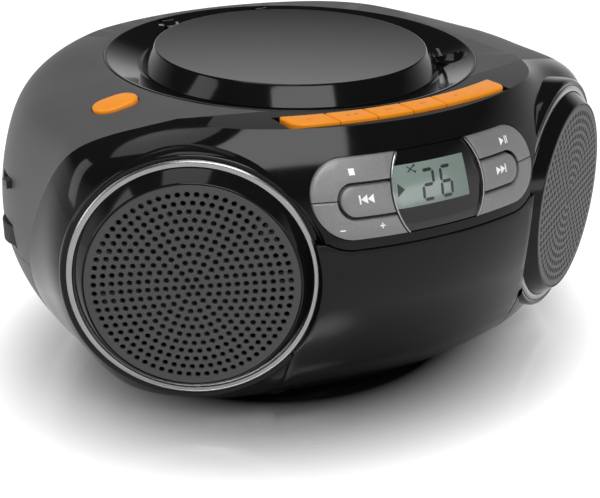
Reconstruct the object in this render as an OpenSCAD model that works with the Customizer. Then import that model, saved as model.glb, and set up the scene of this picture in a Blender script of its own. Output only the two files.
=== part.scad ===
/* [Cabinet] */
// Width of the cabinet at its widest line
body_w = 315; // [305:1:325]
// Depth from the widest line to the middle of the front
body_front = 133; // [129:1:137]
// Depth from the widest line to the middle of the back
body_back = 122; // [118:1:126]
// Height of the widest line above the table
waist_z = 78; // [75:1:81]
// Height of the deck above the table at the middle of the lid
deck_z = 141.5; // [139:0.5:145]
// Rise of the deck towards the back, in degrees
deck_tilt = 2; // [1.5:0.1:2.5]
// Wall of the moulded covers
wall = 2.5; // [2:0.1:3]
// Height of the seam between the top cover and the bottom cabinet
seam_z = 62; // [58:1:64]
// Place of the front panel's edge on the centre line, behind the front
panel_edge = 46; // [44:1:50]
// Lean of the front panel's edge, in degrees
panel_lean = 24.2; // [22:0.1:26]
// Sweep of the front panel's edge to each side, in degrees
panel_sweep = 12.8; // [11:0.1:15]

/* [Feet and screws] */
// Height of a rubber foot below the cabinet
foot_h = 3; // [2:0.5:4]
// Radius of a rubber foot
foot_r = 7; // [5:0.5:8]
// Side place of the feet
foot_x = 78; // [70:1:84]
// Place of the front feet from the widest line
foot_front = 62; // [56:1:68]
// Place of the rear feet from the widest line
foot_back = 52; // [46:1:54]
// Radius of a case screw
screw_r = 1.5; // [1.2:0.1:1.8]
// Length of a case screw
screw_l = 14; // [10:1:18]

/* [Compact disc] */
// Radius of the flat top of the lid
lid_top_r = 70.3; // [69:0.1:71]
// Outer radius of the lid at its lower edge
lid_r = 77.5; // [76:0.5:79]
// Height of the lid above the deck
lid_h = 4.4; // [3.5:0.1:6]
// Wall of the lid
lid_wall = 2; // [1.6:0.1:2.2]
// Radius of the glossy surround
surround_r = 96.5; // [94:0.5:97]
// Depth of the surround's ledge below the deck
ledge_drop = 5.4; // [5:0.1:6]
// Radius of the disc well
well_r = 64; // [62:0.5:66]
// Depth of the disc well below the deck
well_depth = 12; // [11:0.5:13]
// Place of the lid's hinge behind the lid's middle
hinge_y = 84; // [82:0.5:86]
// Depth of the lid's hinge below the deck
hinge_drop = 2.5; // [2:0.5:3]
// Side place of the lid's hinge arms
hinge_x = 30; // [24:1:40]
// Radius of every hinge pin
pin_r = 1.5; // [1.2:0.1:1.8]
// Radial clearance of a pin in its bore
pin_gap = 0.05; // [0.03:0.01:0.08]
// Radius of the turntable's centring hub
hub_r = 7.3; // [7:0.1:7.4]
// Radius of the turntable
table_r = 15; // [13:0.5:17]

/* [Loudspeakers] */
// Distance of a grille's middle from the widest line's side
spk_side = 47.6; // [46:0.1:49]
// Place of a grille's middle in front of the widest line
spk_front = 94.9; // [93:0.1:97]
// Height of a grille's middle
spk_z = 72.2; // [70:0.1:74]
// Turn of each loudspeaker to its side, in degrees
spk_turn = 30.3; // [28:0.1:32]
// Radius of a grille
grille_r = 48.2; // [46:0.1:49]
// Thickness of a grille
grille_t = 1.2; // [0.8:0.1:1.5]
// Outer radius of the sloping bezel round a grille
bezel_r = 53.7; // [52.5:0.1:54.5]
// Depth of the bezel's slope
bezel_drop = 6.5; // [5.5:0.1:7.5]
// Outer radius of the silver trim ring
trim_r = 57; // [56:0.1:57.5]
// Outer radius of the black rim round the trim ring
rim_r = 60.5; // [59.5:0.1:61]
// Outer radius of a driver's frame
driver_r = 41; // [39:0.5:43]
// Depth of a driver behind the baffle
driver_depth = 32; // [28:1:36]
// Radius of a driver's magnet
magnet_r = 25; // [20:1:28]

/* [Front controls] */
// Height of the control group's middle line
group_z = 109.2; // [108.5:0.1:110]
// Radius of the control group's rounded ends
group_r = 17; // [16.5:0.1:17.5]
// Half of the distance between the centres of the rounded ends
group_x = 44.5; // [43:0.1:46]
// Gap round a button
button_gap = 0.4; // [0.3:0.05:0.6]
// How far the buttons stand out of the front
button_proud = 0.8; // [0.5:0.1:1.2]
// Thickness of a button's cap
button_t = 2.6; // [2.2:0.1:3]
// Radius of the bulging sides of the display window
window_r = 27; // [26:0.5:28]
// Side place of the centre of each bulging side
window_x = 2.5; // [1:0.5:4]
// Half height of the two inner buttons
inner_h = 6.35; // [6:0.05:6.6]
// Side place of the centre of an inner button's round end
inner_x = 42.9; // [42:0.1:44]

/* [Cassette] */
// Width of a compact cassette
tape_w = 100.4; // [100.4:0.1:101]
// Height of a compact cassette
tape_h = 63.8; // [63.8:0.1:64.2]
// Thickness of a compact cassette
tape_t = 12; // [12:0.1:12.4]
// Height of the cassette's lower edge in its holder
tape_z = 21; // [20:0.5:22]
// Place of the cassette's face in front of the widest line
tape_front = 106.5; // [106:0.1:107]
// Half width of the cassette door below the loudspeakers
door_x = 68; // [66:0.5:70]
// Height of the cassette door's lower edge
door_z = 7; // [6.5:0.5:9]
// Height of the cassette door's upper corners
door_top = 91; // [90:0.5:92]
// Gap round the cassette door
door_gap = 0.5; // [0.4:0.1:0.8]
// Place of the door's hinge in front of the widest line
door_hinge_y = 95; // [94:0.5:96]
// Height of the door's hinge
door_hinge_z = 18; // [17.5:0.5:19]
// Distance between the two hubs of a cassette
hub_gap = 42.5; // [42.5:0.1:42.7]
// Height of the cassette's hubs above its lower edge
hub_up = 34; // [33:0.5:35]

/* [Cassette keys] */
// Height of the tops of the keys
key_top = 139.3; // [139:0.1:140.5]
// Height of a key's skirt
key_h = 9.5; // [8:0.5:10]
// Depth of the row of keys from front to back
key_depth = 12.5; // [12:0.1:13]
// Distance between the row of keys and the glossy surround
key_land = 1.5; // [1.3:0.1:2]
// Radius of the row's front edge
key_front_r = 220; // [210:5:240]
// Radius of the row's rear edge
key_back_r = 169.5; // [160:0.5:180]
// Half length of the row of keys
key_x = 61; // [60:0.5:62]
// Width of each of the three middle keys
key_w = 19; // [18.5:0.1:19.5]
// Side place of the row's middle division
key_mid = -0.3; // [-1:0.1:1]
// Gap between two keys
key_gap = 0.6; // [0.5:0.1:0.8]
// Place of the key shaft in front of the widest line
key_shaft_y = 72; // [71:0.5:73]
// Height of the key shaft
key_shaft_z = 126.5; // [126:0.5:127]

/* [Sides and back] */
// Radius of the volume and tuning wheels
wheel_r = 20; // [19:0.5:21]
// Thickness of the wheels
wheel_t = 10; // [8:0.5:11]
// How far a wheel stands out of the side
wheel_proud = 1.3; // [1:0.1:2]
// Place of the wheels behind the widest line
wheel_y = 10; // [5:1:15]
// Height of the wheels' middle
wheel_z = 72; // [71:0.5:73]
// Radius of the post that a wheel turns on
wheel_pin_r = 2; // [1.5:0.1:2.5]
// Half width of the hand grip in the back
grip_x = 44; // [40:1:48]
// Height of the hand grip's lower face
grip_z = 94; // [92:1:98]
// Height of the hand grip's opening
grip_h = 22; // [20:1:24]
// Depth of the hand grip from the widest line
grip_y = 102; // [100:1:104]
// Radius of a headphone plug's barrel
jack_r = 1.8; // [1.75:0.05:1.85]
// Depth of the headphone socket
jack_depth = 14; // [14:0.5:16]
// Radius of the aerial's outer tube
aerial_r = 3; // [2.6:0.1:3.2]
// Length of the aerial's outer tube
aerial_l = 118; // [100:1:124]
// Side place of the aerial's pivot
aerial_x = 62; // [58:1:66]
// Height of the aerial
aerial_z = 126; // [124:1:128]

/* [Power] */
// Radius of a size C cell
cell_r = 13.1; // [13.1:0.1:13.4]
// Length of a size C cell
cell_l = 50; // [50:0.1:50.6]
// Place of the battery bay's front wall behind the widest line
bay_y = 4; // [2:1:6]
// Thickness of the battery door
hatch_t = 2.4; // [2:0.1:2.6]
// Width of the transformer's core
core_w = 42; // [38:1:46]
// Height of the transformer's core
core_h = 36; // [32:1:38]

/* [Hidden] */
$fn = 64;

// Working clearances
seat_gap = 0.1;
run_gap = 0.3;
deck_gap = 0.35;
far = 400;

// Small sizes that follow from the look of the pieces
frame_t = 0.9;
display_y = 114.5;
tab_turn = -28;
dimple_r = 11;
dimple_x = lid_r + 9;
lid_y = 5;
key_back = surround_r - lid_y + key_land;
key_front = key_back + key_depth;
bass_side = 44.8;
bass_drop = 2.3;
switch_z = 98;
jack_z = 96;

// The widest line lies a little in front of the middle of the whole depth
aerial_y = body_back + 2;
waist_y = (body_front - (aerial_y + aerial_r + 1)) / 2;
half_w = body_w / 2;
spk_x = half_w - spk_side;

// Colours
matte_black = "#26272b";
gloss_black = "#0c0c0e";
orange = "#eb911e";
button_grey = "#4a4b4f";
steel = "#9a9da2";
dark = "#1a1a1c";

// The outline seen from above bulges towards the loudspeakers, and the sides draw in above and
// below the widest line: gently to the deck and the foot, then sharply where they roll over
function ramp(a, b, x) = let (t = min(max((x - a) / (b - a), 0), 1)) t * t * (3 - 2 * t);
function bell(x, middle, spread) = exp(-pow((x - middle) / spread, 2));
function fold(phi) = atan2(-sin(phi), abs(cos(phi)));
function bulge(phi) = sin(phi) < 0 ? 1 + 0.08 * bell(fold(phi), 27, 12) : 1;
function draw_low(phi) = 0.215 - (sin(phi) < 0 ? 0.07 * bell(fold(phi), 44, 19) : 0);
function front_share(phi) = ramp(0.35, 0.8, -sin(phi));
function back_share(phi) = ramp(0.2, 0.9, sin(phi));
function draw_high(phi) = 0.12 + 0.045 * front_share(phi) - 0.06 * back_share(phi);
function roll_high(phi) = 0.24 * (1 - front_share(phi)) * (1 - 0.7 * back_share(phi));
function narrow(phi, v) = v < 0
    ? 1 - draw_low(phi) * v * v - 0.03 * pow(v, 16)
    : 1 - draw_high(phi) * v * v - roll_high(phi) * pow(v, 12);
function deck_at(y) = deck_z + tan(deck_tilt) * y;
function height(y, v, inset) = v < 0
    ? waist_z + v * (waist_z - foot_h - inset)
    : waist_z + v * (deck_at(y) - inset - waist_z);
function plan_x(phi, v, inset) = (half_w - inset) * cos(phi) * bulge(phi) * narrow(phi, v);
function plan_y(phi, v, inset) =
    ((sin(phi) < 0 ? body_front : body_back) - inset) * sin(phi) * bulge(phi) * narrow(phi, v);
function body_point(phi, v, inset) = let (y = plan_y(phi, v, inset))
    [plan_x(phi, v, inset), y, height(y, v, inset)];
// Place of the front's or the back's face at a given side place and height
function level_at(y, z) = z < waist_z ? (z - waist_z) / (waist_z - foot_h)
    : (z - waist_z) / (deck_at(y) - waist_z);
function front_at(x, z, inset) = let (v = level_at(-body_front, z))
    plan_y(-acos(x / half_w / narrow(-70, v)), v, inset);
function back_at(x, z, inset) = let (v = level_at(body_back, z))
    plan_y(acos(abs(x) / half_w / narrow(75, v)), v, inset);

// The whole cabinet as one closed solid, or the space inside it when inset by the wall
levels = [-1, -0.985, -0.95, -0.88, -0.78, -0.64, -0.48, -0.3, -0.1, 0.12, 0.32, 0.5, 0.64, 0.75,
    0.83, 0.89, 0.935, 0.965, 0.985, 1];
turns = 72;
module cabinet_solid(inset) {
    rings = len(levels);
    points = [for (v = levels) for (i = [0 : turns - 1]) body_point(360 * i / turns, v, inset)];
    sides = [for (k = [0 : rings - 2]) for (i = [0 : turns - 1])
        let (a = k * turns + i, b = k * turns + (i + 1) % turns)
        each [[a, a + turns, b + turns], [a, b + turns, b]]];
    polyhedron(points, concat([[for (i = [0 : turns - 1]) i]], sides,
        [[for (i = [turns - 1 : -1 : 0]) (rings - 1) * turns + i]]));
}

// A slab that follows the front between two depths under its face
module front_slab(v0, v1, across, up, outer, inner) {
    row = across + 1;
    half = row * (up + 1);
    points = [for (inset = [outer, inner]) for (i = [0 : up]) for (j = [0 : across])
        body_point(-120 + 60 * j / across, v0 + (v1 - v0) * i / up, inset)];
    faces = [for (i = [0 : up - 1]) for (j = [0 : across - 1]) let (a = i * row + j, b = a + row)
        each [[a, b, b + 1], [a, b + 1, a + 1],
            [half + a, half + b + 1, half + b], [half + a, half + a + 1, half + b + 1]]];
    ends = [for (i = [0 : up - 1]) let (a = i * row, b = a + row, c = a + across, d = b + across)
        each [[a, half + a, half + b], [a, half + b, b], [c, d, half + d], [c, half + d, half + c]]];
    edges = [for (j = [0 : across - 1]) let (a = j, c = up * row + j)
        each [[a, a + 1, half + a + 1], [a, half + a + 1, half + a],
            [c, half + c, half + c + 1], [c, half + c + 1, c + 1]]];
    polyhedron(points, concat(faces, ends, edges));
}

// Frames that carry a sub-part to its place
module seat() translate([0, waist_y, 0]) children();
module deck_frame() seat() translate([0, lid_y, deck_z + 0.2]) rotate([deck_tilt, 0, 0]) children();
module speaker_frame(side) seat() translate([side * spk_x, -spk_front, spk_z])
    rotate([90, 0, side * spk_turn]) children();
// Extrudes an outline drawn as seen from the front, between two places in depth
module from_front(y0, y1) seat() translate([0, y1, 0]) rotate([90, 0, 0])
    linear_extrude(y1 - y0) children();
// A box between two corners, placed from the widest line
module box(a, b) seat() translate(a) cube(b - a);
// A rod along the depth, centred at [x, z] between two places
module rod_y(x, z, y0, y1, r) seat() translate([x, y1, z]) rotate([90, 0, 0]) cylinder(y1 - y0, r = r);
module rod_x(y, z, x0, x1, r) seat() translate([x0, y, z]) rotate([0, 90, 0]) cylinder(x1 - x0, r = r);
module rod_z(x, y, z0, z1, r) seat() translate([x, y, z0]) cylinder(z1 - z0, r = r);
// Draws a piece as it is for side -1, or its mirror image for side 1
module on_side(side) if (side < 0) children(); else mirror([1, 0, 0]) children();
module ring(profile) rotate_extrude($fn = 128) polygon(profile);

// Everything behind the leaning, swept edge of the glossy front panel
module behind_panel() seat() translate([0, panel_edge - body_front, deck_z - 2.5])
    rotate([panel_lean, 0, 0]) linear_extrude(2 * far, center = true)
        polygon([[0, 0], [far, far * tan(panel_sweep)], [far, far], [-far, far],
            [-far, far * tan(panel_sweep)]]);
// The round hole in the deck that the surround drops into
module deck_hole() deck_frame() rotate([0, 0, 7]) translate([0, 0, -9])
    cylinder(20, r = surround_r + deck_gap);
module cabinet_shell() seat() difference() { cabinet_solid(0); cabinet_solid(wall); }

// Outlines of the control group, seen from the front
module stadium(r, x, z) {
    translate([-x, z]) circle(r);
    translate([x, z]) circle(r);
    translate([-x, z - r]) square([2 * x, 2 * r]);
}
module window_outline(grow) intersection() {
    for (side = [-1, 1]) translate([side * window_x, group_z]) circle(window_r + grow);
    translate([-far / 2, group_z - group_r]) square([far, 2 * group_r]);
}
module inner_outline(grow) {
    translate([-inner_x, group_z - 0.9]) circle(inner_h + grow);
    translate([-inner_x, group_z - 0.9 - inner_h - grow]) square([inner_x, 2 * (inner_h + grow)]);
}
module outer_outline(top) difference() {
    intersection() {
        stadium(group_r, group_x, group_z);
        translate([-far, top ? group_z + button_gap / 2 : group_z - button_gap / 2 - far])
            square([far, far]);
    }
    inner_outline(1.5);
    window_outline(frame_t + button_gap);
}
module group_slab(outer, inner) seat() front_slab(0.12, 0.93, 20, 7, outer, inner);
module group_cut() from_front(-body_front - 10, -body_front + 40) children();
module cap(side) on_side(side) intersection() {
    group_slab(-button_proud, button_t - button_proud);
    group_cut() children();
}

// Depths of the cassette bay, from the door to the flywheel
tape_back = tape_front - tape_t;
holder_wall = 1.2;
holder_back = tape_back - 2 * holder_wall;
chassis_front = holder_back - 4.5;
chassis_t = 1.5;
chassis_back = chassis_front - chassis_t;
hub_z = tape_z + hub_up;
tape_top = tape_z + tape_h;
capstan_x = 22;
capstan_z = tape_top - 8;
capstan_r = 1.2;
fly_r = 19;
fly_t = 6;
fly_y = chassis_back - 1.3;
motor_x = -30;
motor_z = 38;
motor_r = 14;
pulley_r = 5;
slide_travel = 3.6;
roller_r = 6;
roller_z = capstan_z + capstan_r + roller_r + slide_travel + 0.4;
bay_x = tape_w / 2 + 8;
bay_low = 24;
bay_tall = tape_top + 11.2 - bay_low;

// Front panel: the glossy front with both loudspeaker rims, baffles and the cassette bay's walls
module front_panel() color(gloss_black) {
    difference() {
        union() {
            difference() {
                cabinet_shell();
                behind_panel();
                for (side = [-1, 1]) speaker_frame(side) ring([[0, -30], [trim_r + 1.4, -30],
                    [trim_r + 1.4, -bezel_drop - 0.7], [rim_r + 3.5, 0], [rim_r + 12, 22], [0, 22]]);
            }
            for (side = [-1, 1]) speaker_frame(side) {
                ring([[trim_r + seat_gap, -bezel_drop - 5.5], [trim_r + seat_gap, -bezel_drop - 1.1],
                    [rim_r - 1.7, -bezel_drop - 0.7], [rim_r - 0.5, -bezel_drop - 2],
                    [rim_r, -bezel_drop - 5.5], [rim_r, -30], [rim_r - wall, -30],
                    [rim_r - wall, -bezel_drop - 5.5]]);
                ring([[driver_r - 5, -bezel_drop - 5.5], [rim_r - 1, -bezel_drop - 5.5],
                    [rim_r - 1, -bezel_drop - wall], [driver_r - 5, -bezel_drop - wall]]);
            }
        }
        // Room for the cassette door, with the swing of its lower edge
        difference() {
            from_front(-body_front - 5, -86) difference() {
                translate([-door_x - door_gap, door_z - far]) square([2 * (door_x + door_gap),
                    far + door_top - door_z + door_gap]);
                stadium(group_r + 5 - door_gap, group_x, group_z);
            }
            for (side = [-1, 1]) speaker_frame(side) translate([0, 0, -60])
                cylinder(100, r = trim_r + seat_gap, $fn = 128);
            box([-far, -door_hinge_y + 5, -1], [far, 0, 16]);
        }
        box([-bay_x - 1.5, -body_front, 16], [bay_x + 1.5, -60, group_z - group_r - 5]);
        // Holes for the control group, the keys and the disc surround
        from_front(-body_front - 5, -body_front + 40) stadium(group_r + button_gap, group_x, group_z);
        key_slot();
        deck_hole();
        foot_holes();
    }
    for (side = [-1, 1]) on_side(side) {
        // Bay wall, door hinge ear and key shaft ear
        difference() {
            seat() translate([bay_x, 0, 0]) rotate([90, 0, 90]) linear_extrude(2) polygon(concat(
                [for (z = [bay_low : 8 : group_z - group_r - 4]) [front_at(bay_x + 2, z, wall + 2.5), z]],
                [[-chassis_front - 8, bay_low + bay_tall], [-chassis_front, bay_low + bay_tall],
                    [-chassis_front, bay_low]]));
            speaker_frame(1) translate([0, 0, -bezel_drop - wall])
                cylinder(60, r = trim_r + seat_gap, $fn = 128);
        }
        difference() {
            seat() translate([door_x + 0.6, 0, 0]) rotate([90, 0, 90]) linear_extrude(3.4)
                polygon([[-door_hinge_y - 3, door_hinge_z + 4], [-door_hinge_y - 3, door_hinge_z - 2],
                    [-door_hinge_y + 3, door_hinge_z - 9.5], [-door_hinge_y + 11, foot_h + 1.5],
                    [-door_hinge_y + 15, foot_h + 1.5], [-door_hinge_y + 15, door_hinge_z + 4]]);
            rod_x(-door_hinge_y, door_hinge_z, door_x - 1, door_x + 5, pin_r);
        }
        difference() {
            union() {
                box([key_x + 3, -key_shaft_y - 4.5, key_shaft_z - 4], [key_x + 6, -key_shaft_y + 0.8,
                    deck_z - 4]);
                rod_x(-key_shaft_y, key_shaft_z, key_x + 3, key_x + 6, 4.5);
            }
            rod_x(-key_shaft_y, key_shaft_z, key_x, key_x + 8, pin_r);
        }
    }
}

// Outline of the row of keys, seen from above
module key_row(grow, front) intersection() {
    translate([0, key_front_r - key_front]) circle(key_front_r + grow + front, $fn = 256);
    difference() {
        translate([-key_x - grow, -far / 2]) square([2 * (key_x + grow), far]);
        translate([0, key_back_r - key_back]) circle(key_back_r - grow, $fn = 256);
    }
    translate([-far / 2, -far]) square([far, far - 40]);
}
module key_slot() {
    seat() translate([0, 0, key_shaft_z - 4]) linear_extrude(30) key_row(0.5, 1);
    // Where the row comes close to the round hole, no thin web is left between them
    box([-26, -key_back - 1, key_shaft_z], [26, -key_back + 3, key_top + 5]);
}

// Top cover: the matte shell above the seam, with the hand grip and slots for the wheels
module top_cover() color(matte_black) {
    difference() {
        difference() {
            intersection() {
                cabinet_shell();
                behind_panel();
                box([-far / 2, -far / 2, seam_z], [far / 2, far / 2, far / 2]);
            }
            deck_hole();
        }
        for (side = [-1, 1]) wheel_slot(side);
        box([-grip_x, grip_y - 2, grip_z], [grip_x, far / 2, grip_z + grip_h]);
        bass_frame() bass_outline(0.5, 20);
        box([-half_w - 5, wheel_y - 6.3, switch_z - 2.2], [-half_w + 20, wheel_y + 12.3, switch_z + 2.2]);
        rod_x(0, jack_z, half_w - 20, half_w + 5, 5.5);
        rod_y(aerial_x, aerial_z, body_back - 30, body_back + 5, 6 + seat_gap);
    }
    // Floor, roof, back and sides of the hand grip
    for (z = [grip_z - 2, grip_z + grip_h]) grip_plate(z, 2, -grip_x - 2, grip_x + 2);
    box([-grip_x - 2, grip_y - 2, grip_z - 1], [grip_x + 2, grip_y, grip_z + grip_h + 1]);
    for (x = [-grip_x - 2, grip_x]) grip_plate(grip_z - 1, grip_h + 2, x, x + 2);
}
module grip_plate(z, h, x0, x1) seat() translate([0, 0, z]) linear_extrude(h) polygon(concat(
    [[x1, grip_y - 2], [x0, grip_y - 2]],
    [for (i = [0 : 8]) let (x = x0 + (x1 - x0) * i / 8) [x, back_at(x, z, wall / 2 + 0.4)]]));

// A wheel's place on its side, and the slot that it looks out of
module wheel_frame(side) seat()
    translate([side * (half_w + wheel_proud - wheel_r), wheel_y, wheel_z]) children();
module wheel_slot(side) wheel_frame(side)
    cylinder(wheel_t + 2, r = wheel_r + run_gap, center = true);
module wheel(side) difference() {
    wheel_frame(side) cylinder(wheel_t, r = wheel_r, center = true);
    wheel_frame(side) cylinder(far, r = wheel_pin_r + pin_gap, center = true);
}

// Bottom cabinet: the matte shell below the seam, with the battery bay, posts and screw bosses
bay_w = 2 * cell_l + 4;
bay_l = 6 * cell_r + 2;
bay_h = 2 * cell_r + 1.5;
bay_floor = foot_h + hatch_t + 0.4;
boss_h = 22;
head_r = 2.8;
board_z = bay_floor + bay_h + 8;
post_low = foot_h + 24.2;
module bottom_cabinet() color(matte_black) {
    difference() {
        union() {
            intersection() {
                cabinet_shell();
                behind_panel();
                box([-far / 2, -far / 2, 0], [far / 2, far / 2, seam_z]);
            }
            difference() {
                box([-bay_w / 2 - 2, bay_y - 2, foot_h + 0.2],
                    [bay_w / 2 + 2, bay_y + bay_l + 2, bay_floor + bay_h + 2]);
                box([-bay_w / 2, bay_y, 0], [bay_w / 2, bay_y + bay_l, bay_floor + bay_h]);
            }
            for (side = [-1, 1]) rod_z(side * foot_x, foot_back, foot_h + 1, foot_h + boss_h, 4);
            for (x = [-60, 60]) for (y = [10, 60]) rod_z(x, y, foot_h + 1, board_z, 3);
        }
        hatch(0.3, 14);
        foot_holes();
        for (side = [-1, 1]) {
            rod_z(side * foot_x, foot_back, 0, foot_h + boss_h + 1, screw_r + seat_gap);
            rod_z(side * foot_x, foot_back, 0, foot_h + 3 + seat_gap, head_r + seat_gap);
        }
        box([inlet_x - 11, inlet_y - 20, inlet_z - 8], [inlet_x + 11, body_back, inlet_z + 8]);
        wheel_slot(-1);
        wheel_slot(1);
    }
    for (side = [-1, 1]) {
        rod_z(side * (half_w + wheel_proud - wheel_r), wheel_y, post_low,
            wheel_z - wheel_t / 2 - run_gap, 3);
        rod_z(side * (half_w + wheel_proud - wheel_r), wheel_y, post_low,
            wheel_z + wheel_t / 2 + 3, wheel_pin_r);
    }
}
module foot_holes() for (x = [-foot_x, foot_x]) for (y = [-foot_front, foot_back])
    rod_z(x, y, 0, foot_h + 1, foot_r + seat_gap);

// Battery door: a plate that slides out backwards along the bottom of the cabinet
module hatch(grow, more) seat() translate([0, 0, foot_h - (grow > 0 ? 1 : 0)])
    linear_extrude(hatch_t + (grow > 0 ? 1 + grow : 0)) intersection() {
        translate([-bay_w / 2 - grow, bay_y - grow])
            square([bay_w + 2 * grow, body_back + more]);
        if (grow == 0) polygon([for (i = [0 : 36]) let (p = body_point(360 * i / 36, -1, 0.4))
            [p[0], p[1]]]);
        else square(2 * far, center = true);
    }
module battery_door() color(matte_black) hatch(0, 0);

// Main board: stands on four posts above the battery bay
module main_board() color("#2c5a34") difference() {
    box([-70, 4, board_z], [70, 68, board_z + 1.6]);
    for (x = [-60, 60]) for (y = [10, 60]) rod_z(x, y, board_z - 1, board_z + 3, 1.2);
}

// Glossy surround: a dished ring that runs down to the disc well
module cd_surround() color(gloss_black) deck_frame() difference() {
    union() {
        ring([[surround_r, 0], [surround_r - 0.5, 0.3], [surround_r - 1.5, 0.2],
            [lid_r + 1.5, -ledge_drop], [well_r, -ledge_drop], [well_r, -well_depth],
            [table_r + 2, -well_depth], [table_r + 2, -well_depth - 2],
            [well_r + 2, -well_depth - 2], [well_r + 2, -ledge_drop - 2],
            [lid_r + 1.5, -ledge_drop - 2], [surround_r, -2]]);
        // Flange under the deck at the back and sides
        difference() {
            ring([[surround_r - 4, -wall - 3], [surround_r - 4, -2.4], [surround_r - 2, -1.5],
                [surround_r, -2], [surround_r, -wall - 1.6], [surround_r + 1.5, -wall - 1.6],
                [surround_r + 1.5, -wall - 3]]);
            translate([-far / 2, -far - 50, -far / 2]) cube(far);
        }
        // Cheeks of the two hinge pockets
        for (side = [-1, 1]) for (x = [-6, 4])
            translate([side * hinge_x + x, lid_r + 1, -hinge_drop - 5]) cube([2, 11, 7]);
        // Cup of the finger dimple beside the lid's tab
        rotate([0, 0, tab_turn]) translate([dimple_x, 0, 4]) rotate_extrude() intersection() {
            difference() {
                circle(dimple_r + 1.5);
                circle(dimple_r - 0.5);
            }
            translate([0, -20]) square([7.6, 13]);
        }
    }
    rotate([0, 0, tab_turn]) translate([dimple_x, 0, 4]) sphere(dimple_r);
    for (side = [-1, 1]) {
        translate([side * hinge_x - 4, lid_r - 5, -far / 2]) cube([8, 17, far]);
        translate([side * hinge_x - 7, hinge_y, -hinge_drop]) rotate([0, 90, 0])
            cylinder(14, r = pin_r);
    }
    // Slot that the laser travels along
    translate([-laser_w / 2 - 1, -well_r + 4, -far / 2]) cube([laser_w + 2, well_r - 20, far]);
}

// Lid: a shallow round cap with two hinge arms and a finger tab
module cd_lid() color(gloss_black) deck_frame() difference() {
    union() {
        ring([[0, lid_h - lid_wall], [0, lid_h], [lid_top_r, lid_h], [lid_r, -ledge_drop + run_gap],
            [lid_r - lid_wall, -ledge_drop + run_gap], [lid_top_r - lid_wall, lid_h - lid_wall]]);
        for (side = [-1, 1]) translate([side * hinge_x, 0, 0]) {
            translate([-3.5, lid_r - 8, -hinge_drop - 1.5]) cube([7, hinge_y - lid_r + 8, 3]);
            translate([-3.5, hinge_y, -hinge_drop]) rotate([0, 90, 0]) cylinder(7, r = 3);
        }
        rotate([0, 0, tab_turn]) translate([lid_r - 5, -7, -2.5]) cube([6.5, 14, 2.5]);
        // Boss that carries the disc clamp
        difference() {
            translate([0, 0, -1.5]) cylinder(1.7 + lid_h - lid_wall, r = 5);
            translate([0, 0, -2]) cylinder(5, r = 2.2);
        }
    }
    difference() {
        translate([0, 0, -ledge_drop]) cylinder(ledge_drop + lid_h - lid_wall,
            r1 = lid_r - lid_wall, r2 = lid_top_r - lid_wall, $fn = 128);
        cylinder(40, r = 12, center = true);
        for (side = [-1, 1]) translate([side * hinge_x - 3.5, lid_r - 8, -9]) cube([7, 20, 20]);
    }
    for (side = [-1, 1]) translate([side * hinge_x - 7, hinge_y, -hinge_drop]) rotate([0, 90, 0])
        cylinder(14, r = pin_r + pin_gap);
}

// Hinge pins: four alike, two for the lid and two for the cassette door
pin_l = 12;
module hinge_pins() color(steel) {
    deck_frame() for (side = [-1, 1]) translate([side * hinge_x - pin_l / 2, hinge_y, -hinge_drop])
        rotate([0, 90, 0]) cylinder(pin_l, r = pin_r);
    for (side = [-1, 1]) on_side(side)
        rod_x(-door_hinge_y, door_hinge_z, door_x + 4 - pin_l, door_x + 4, pin_r);
}

// Disc clamp: a loose plate under the lid, held by its collar, that presses the disc down
clamp_z = -well_depth + 3.3;
clamp_gap = 2.4; // room round the hub, so that the clamp presses on the disc alone
module disc_clamp() color(dark) deck_frame() difference() {
    union() {
        translate([0, 0, clamp_z]) cylinder(4.5, r = table_r);
        translate([0, 0, clamp_z]) cylinder(-clamp_z + 0.5, r = 1.9);
    }
    translate([0, 0, clamp_z - 1]) cylinder(4.5, r = hub_r + clamp_gap);
}

// Turntable: the plate and centring hub that the disc sits on, on the motor's shaft
module turntable() color("#c9c9c9") deck_frame() difference() {
    union() {
        translate([0, 0, -well_depth - 0.5]) cylinder(2.5, r = table_r);
        translate([0, 0, -well_depth]) cylinder(5.6, r = hub_r - 1.5);
        translate([0, 0, -well_depth]) cylinder(4.6, r = hub_r);
        translate([0, 0, -well_depth - 2]) cylinder(2, r = 3);
    }
    translate([0, 0, -well_depth - 4]) cylinder(8, r = 1 + pin_gap);
}
motor_top = -well_depth - 4;
module disc_motor() color(steel) deck_frame() {
    translate([0, 0, motor_top - 10]) cylinder(10, r = 12);
    translate([0, 0, motor_top]) cylinder(7, r = 1);
}

// Pickup chassis: the plate under the disc well with the rods' lugs and its four posts
laser_w = 15;
rod_x_place = 13;
rod_r = 1.5;
rod_z_place = motor_top - 5;
laser_l = 16;
module pickup_chassis() color(steel) deck_frame() difference() {
    union() {
        translate([-32, -62, motor_top - 1.5]) cube([64, 80, 1.5]);
        for (x = [-29, 29]) for (y = [-54, 12]) translate([x, y, motor_top])
            cylinder(-well_depth - 2 - motor_top, r = 2.5);
        for (side = [-1, 1]) for (y = [-61, -15]) translate([side * rod_x_place - 2.5, y,
            rod_z_place - 2.5]) cube([5, 3, motor_top - rod_z_place + 2]);
    }
    translate([0, 0, -far / 2]) cylinder(far, r = 12 + seat_gap);
    translate([-rod_x_place - 4, -57.5, -far / 2]) cube([2 * rod_x_place + 8, 42, far]);
    for (side = [-1, 1]) translate([side * rod_x_place, 0, rod_z_place]) rotate([90, 0, 0])
        cylinder(70, r = rod_r);
}
module sled_rods() color("#d8d8d8") deck_frame() for (side = [-1, 1])
    translate([side * rod_x_place, -12, rod_z_place]) rotate([90, 0, 0]) cylinder(49, r = rod_r);
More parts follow.
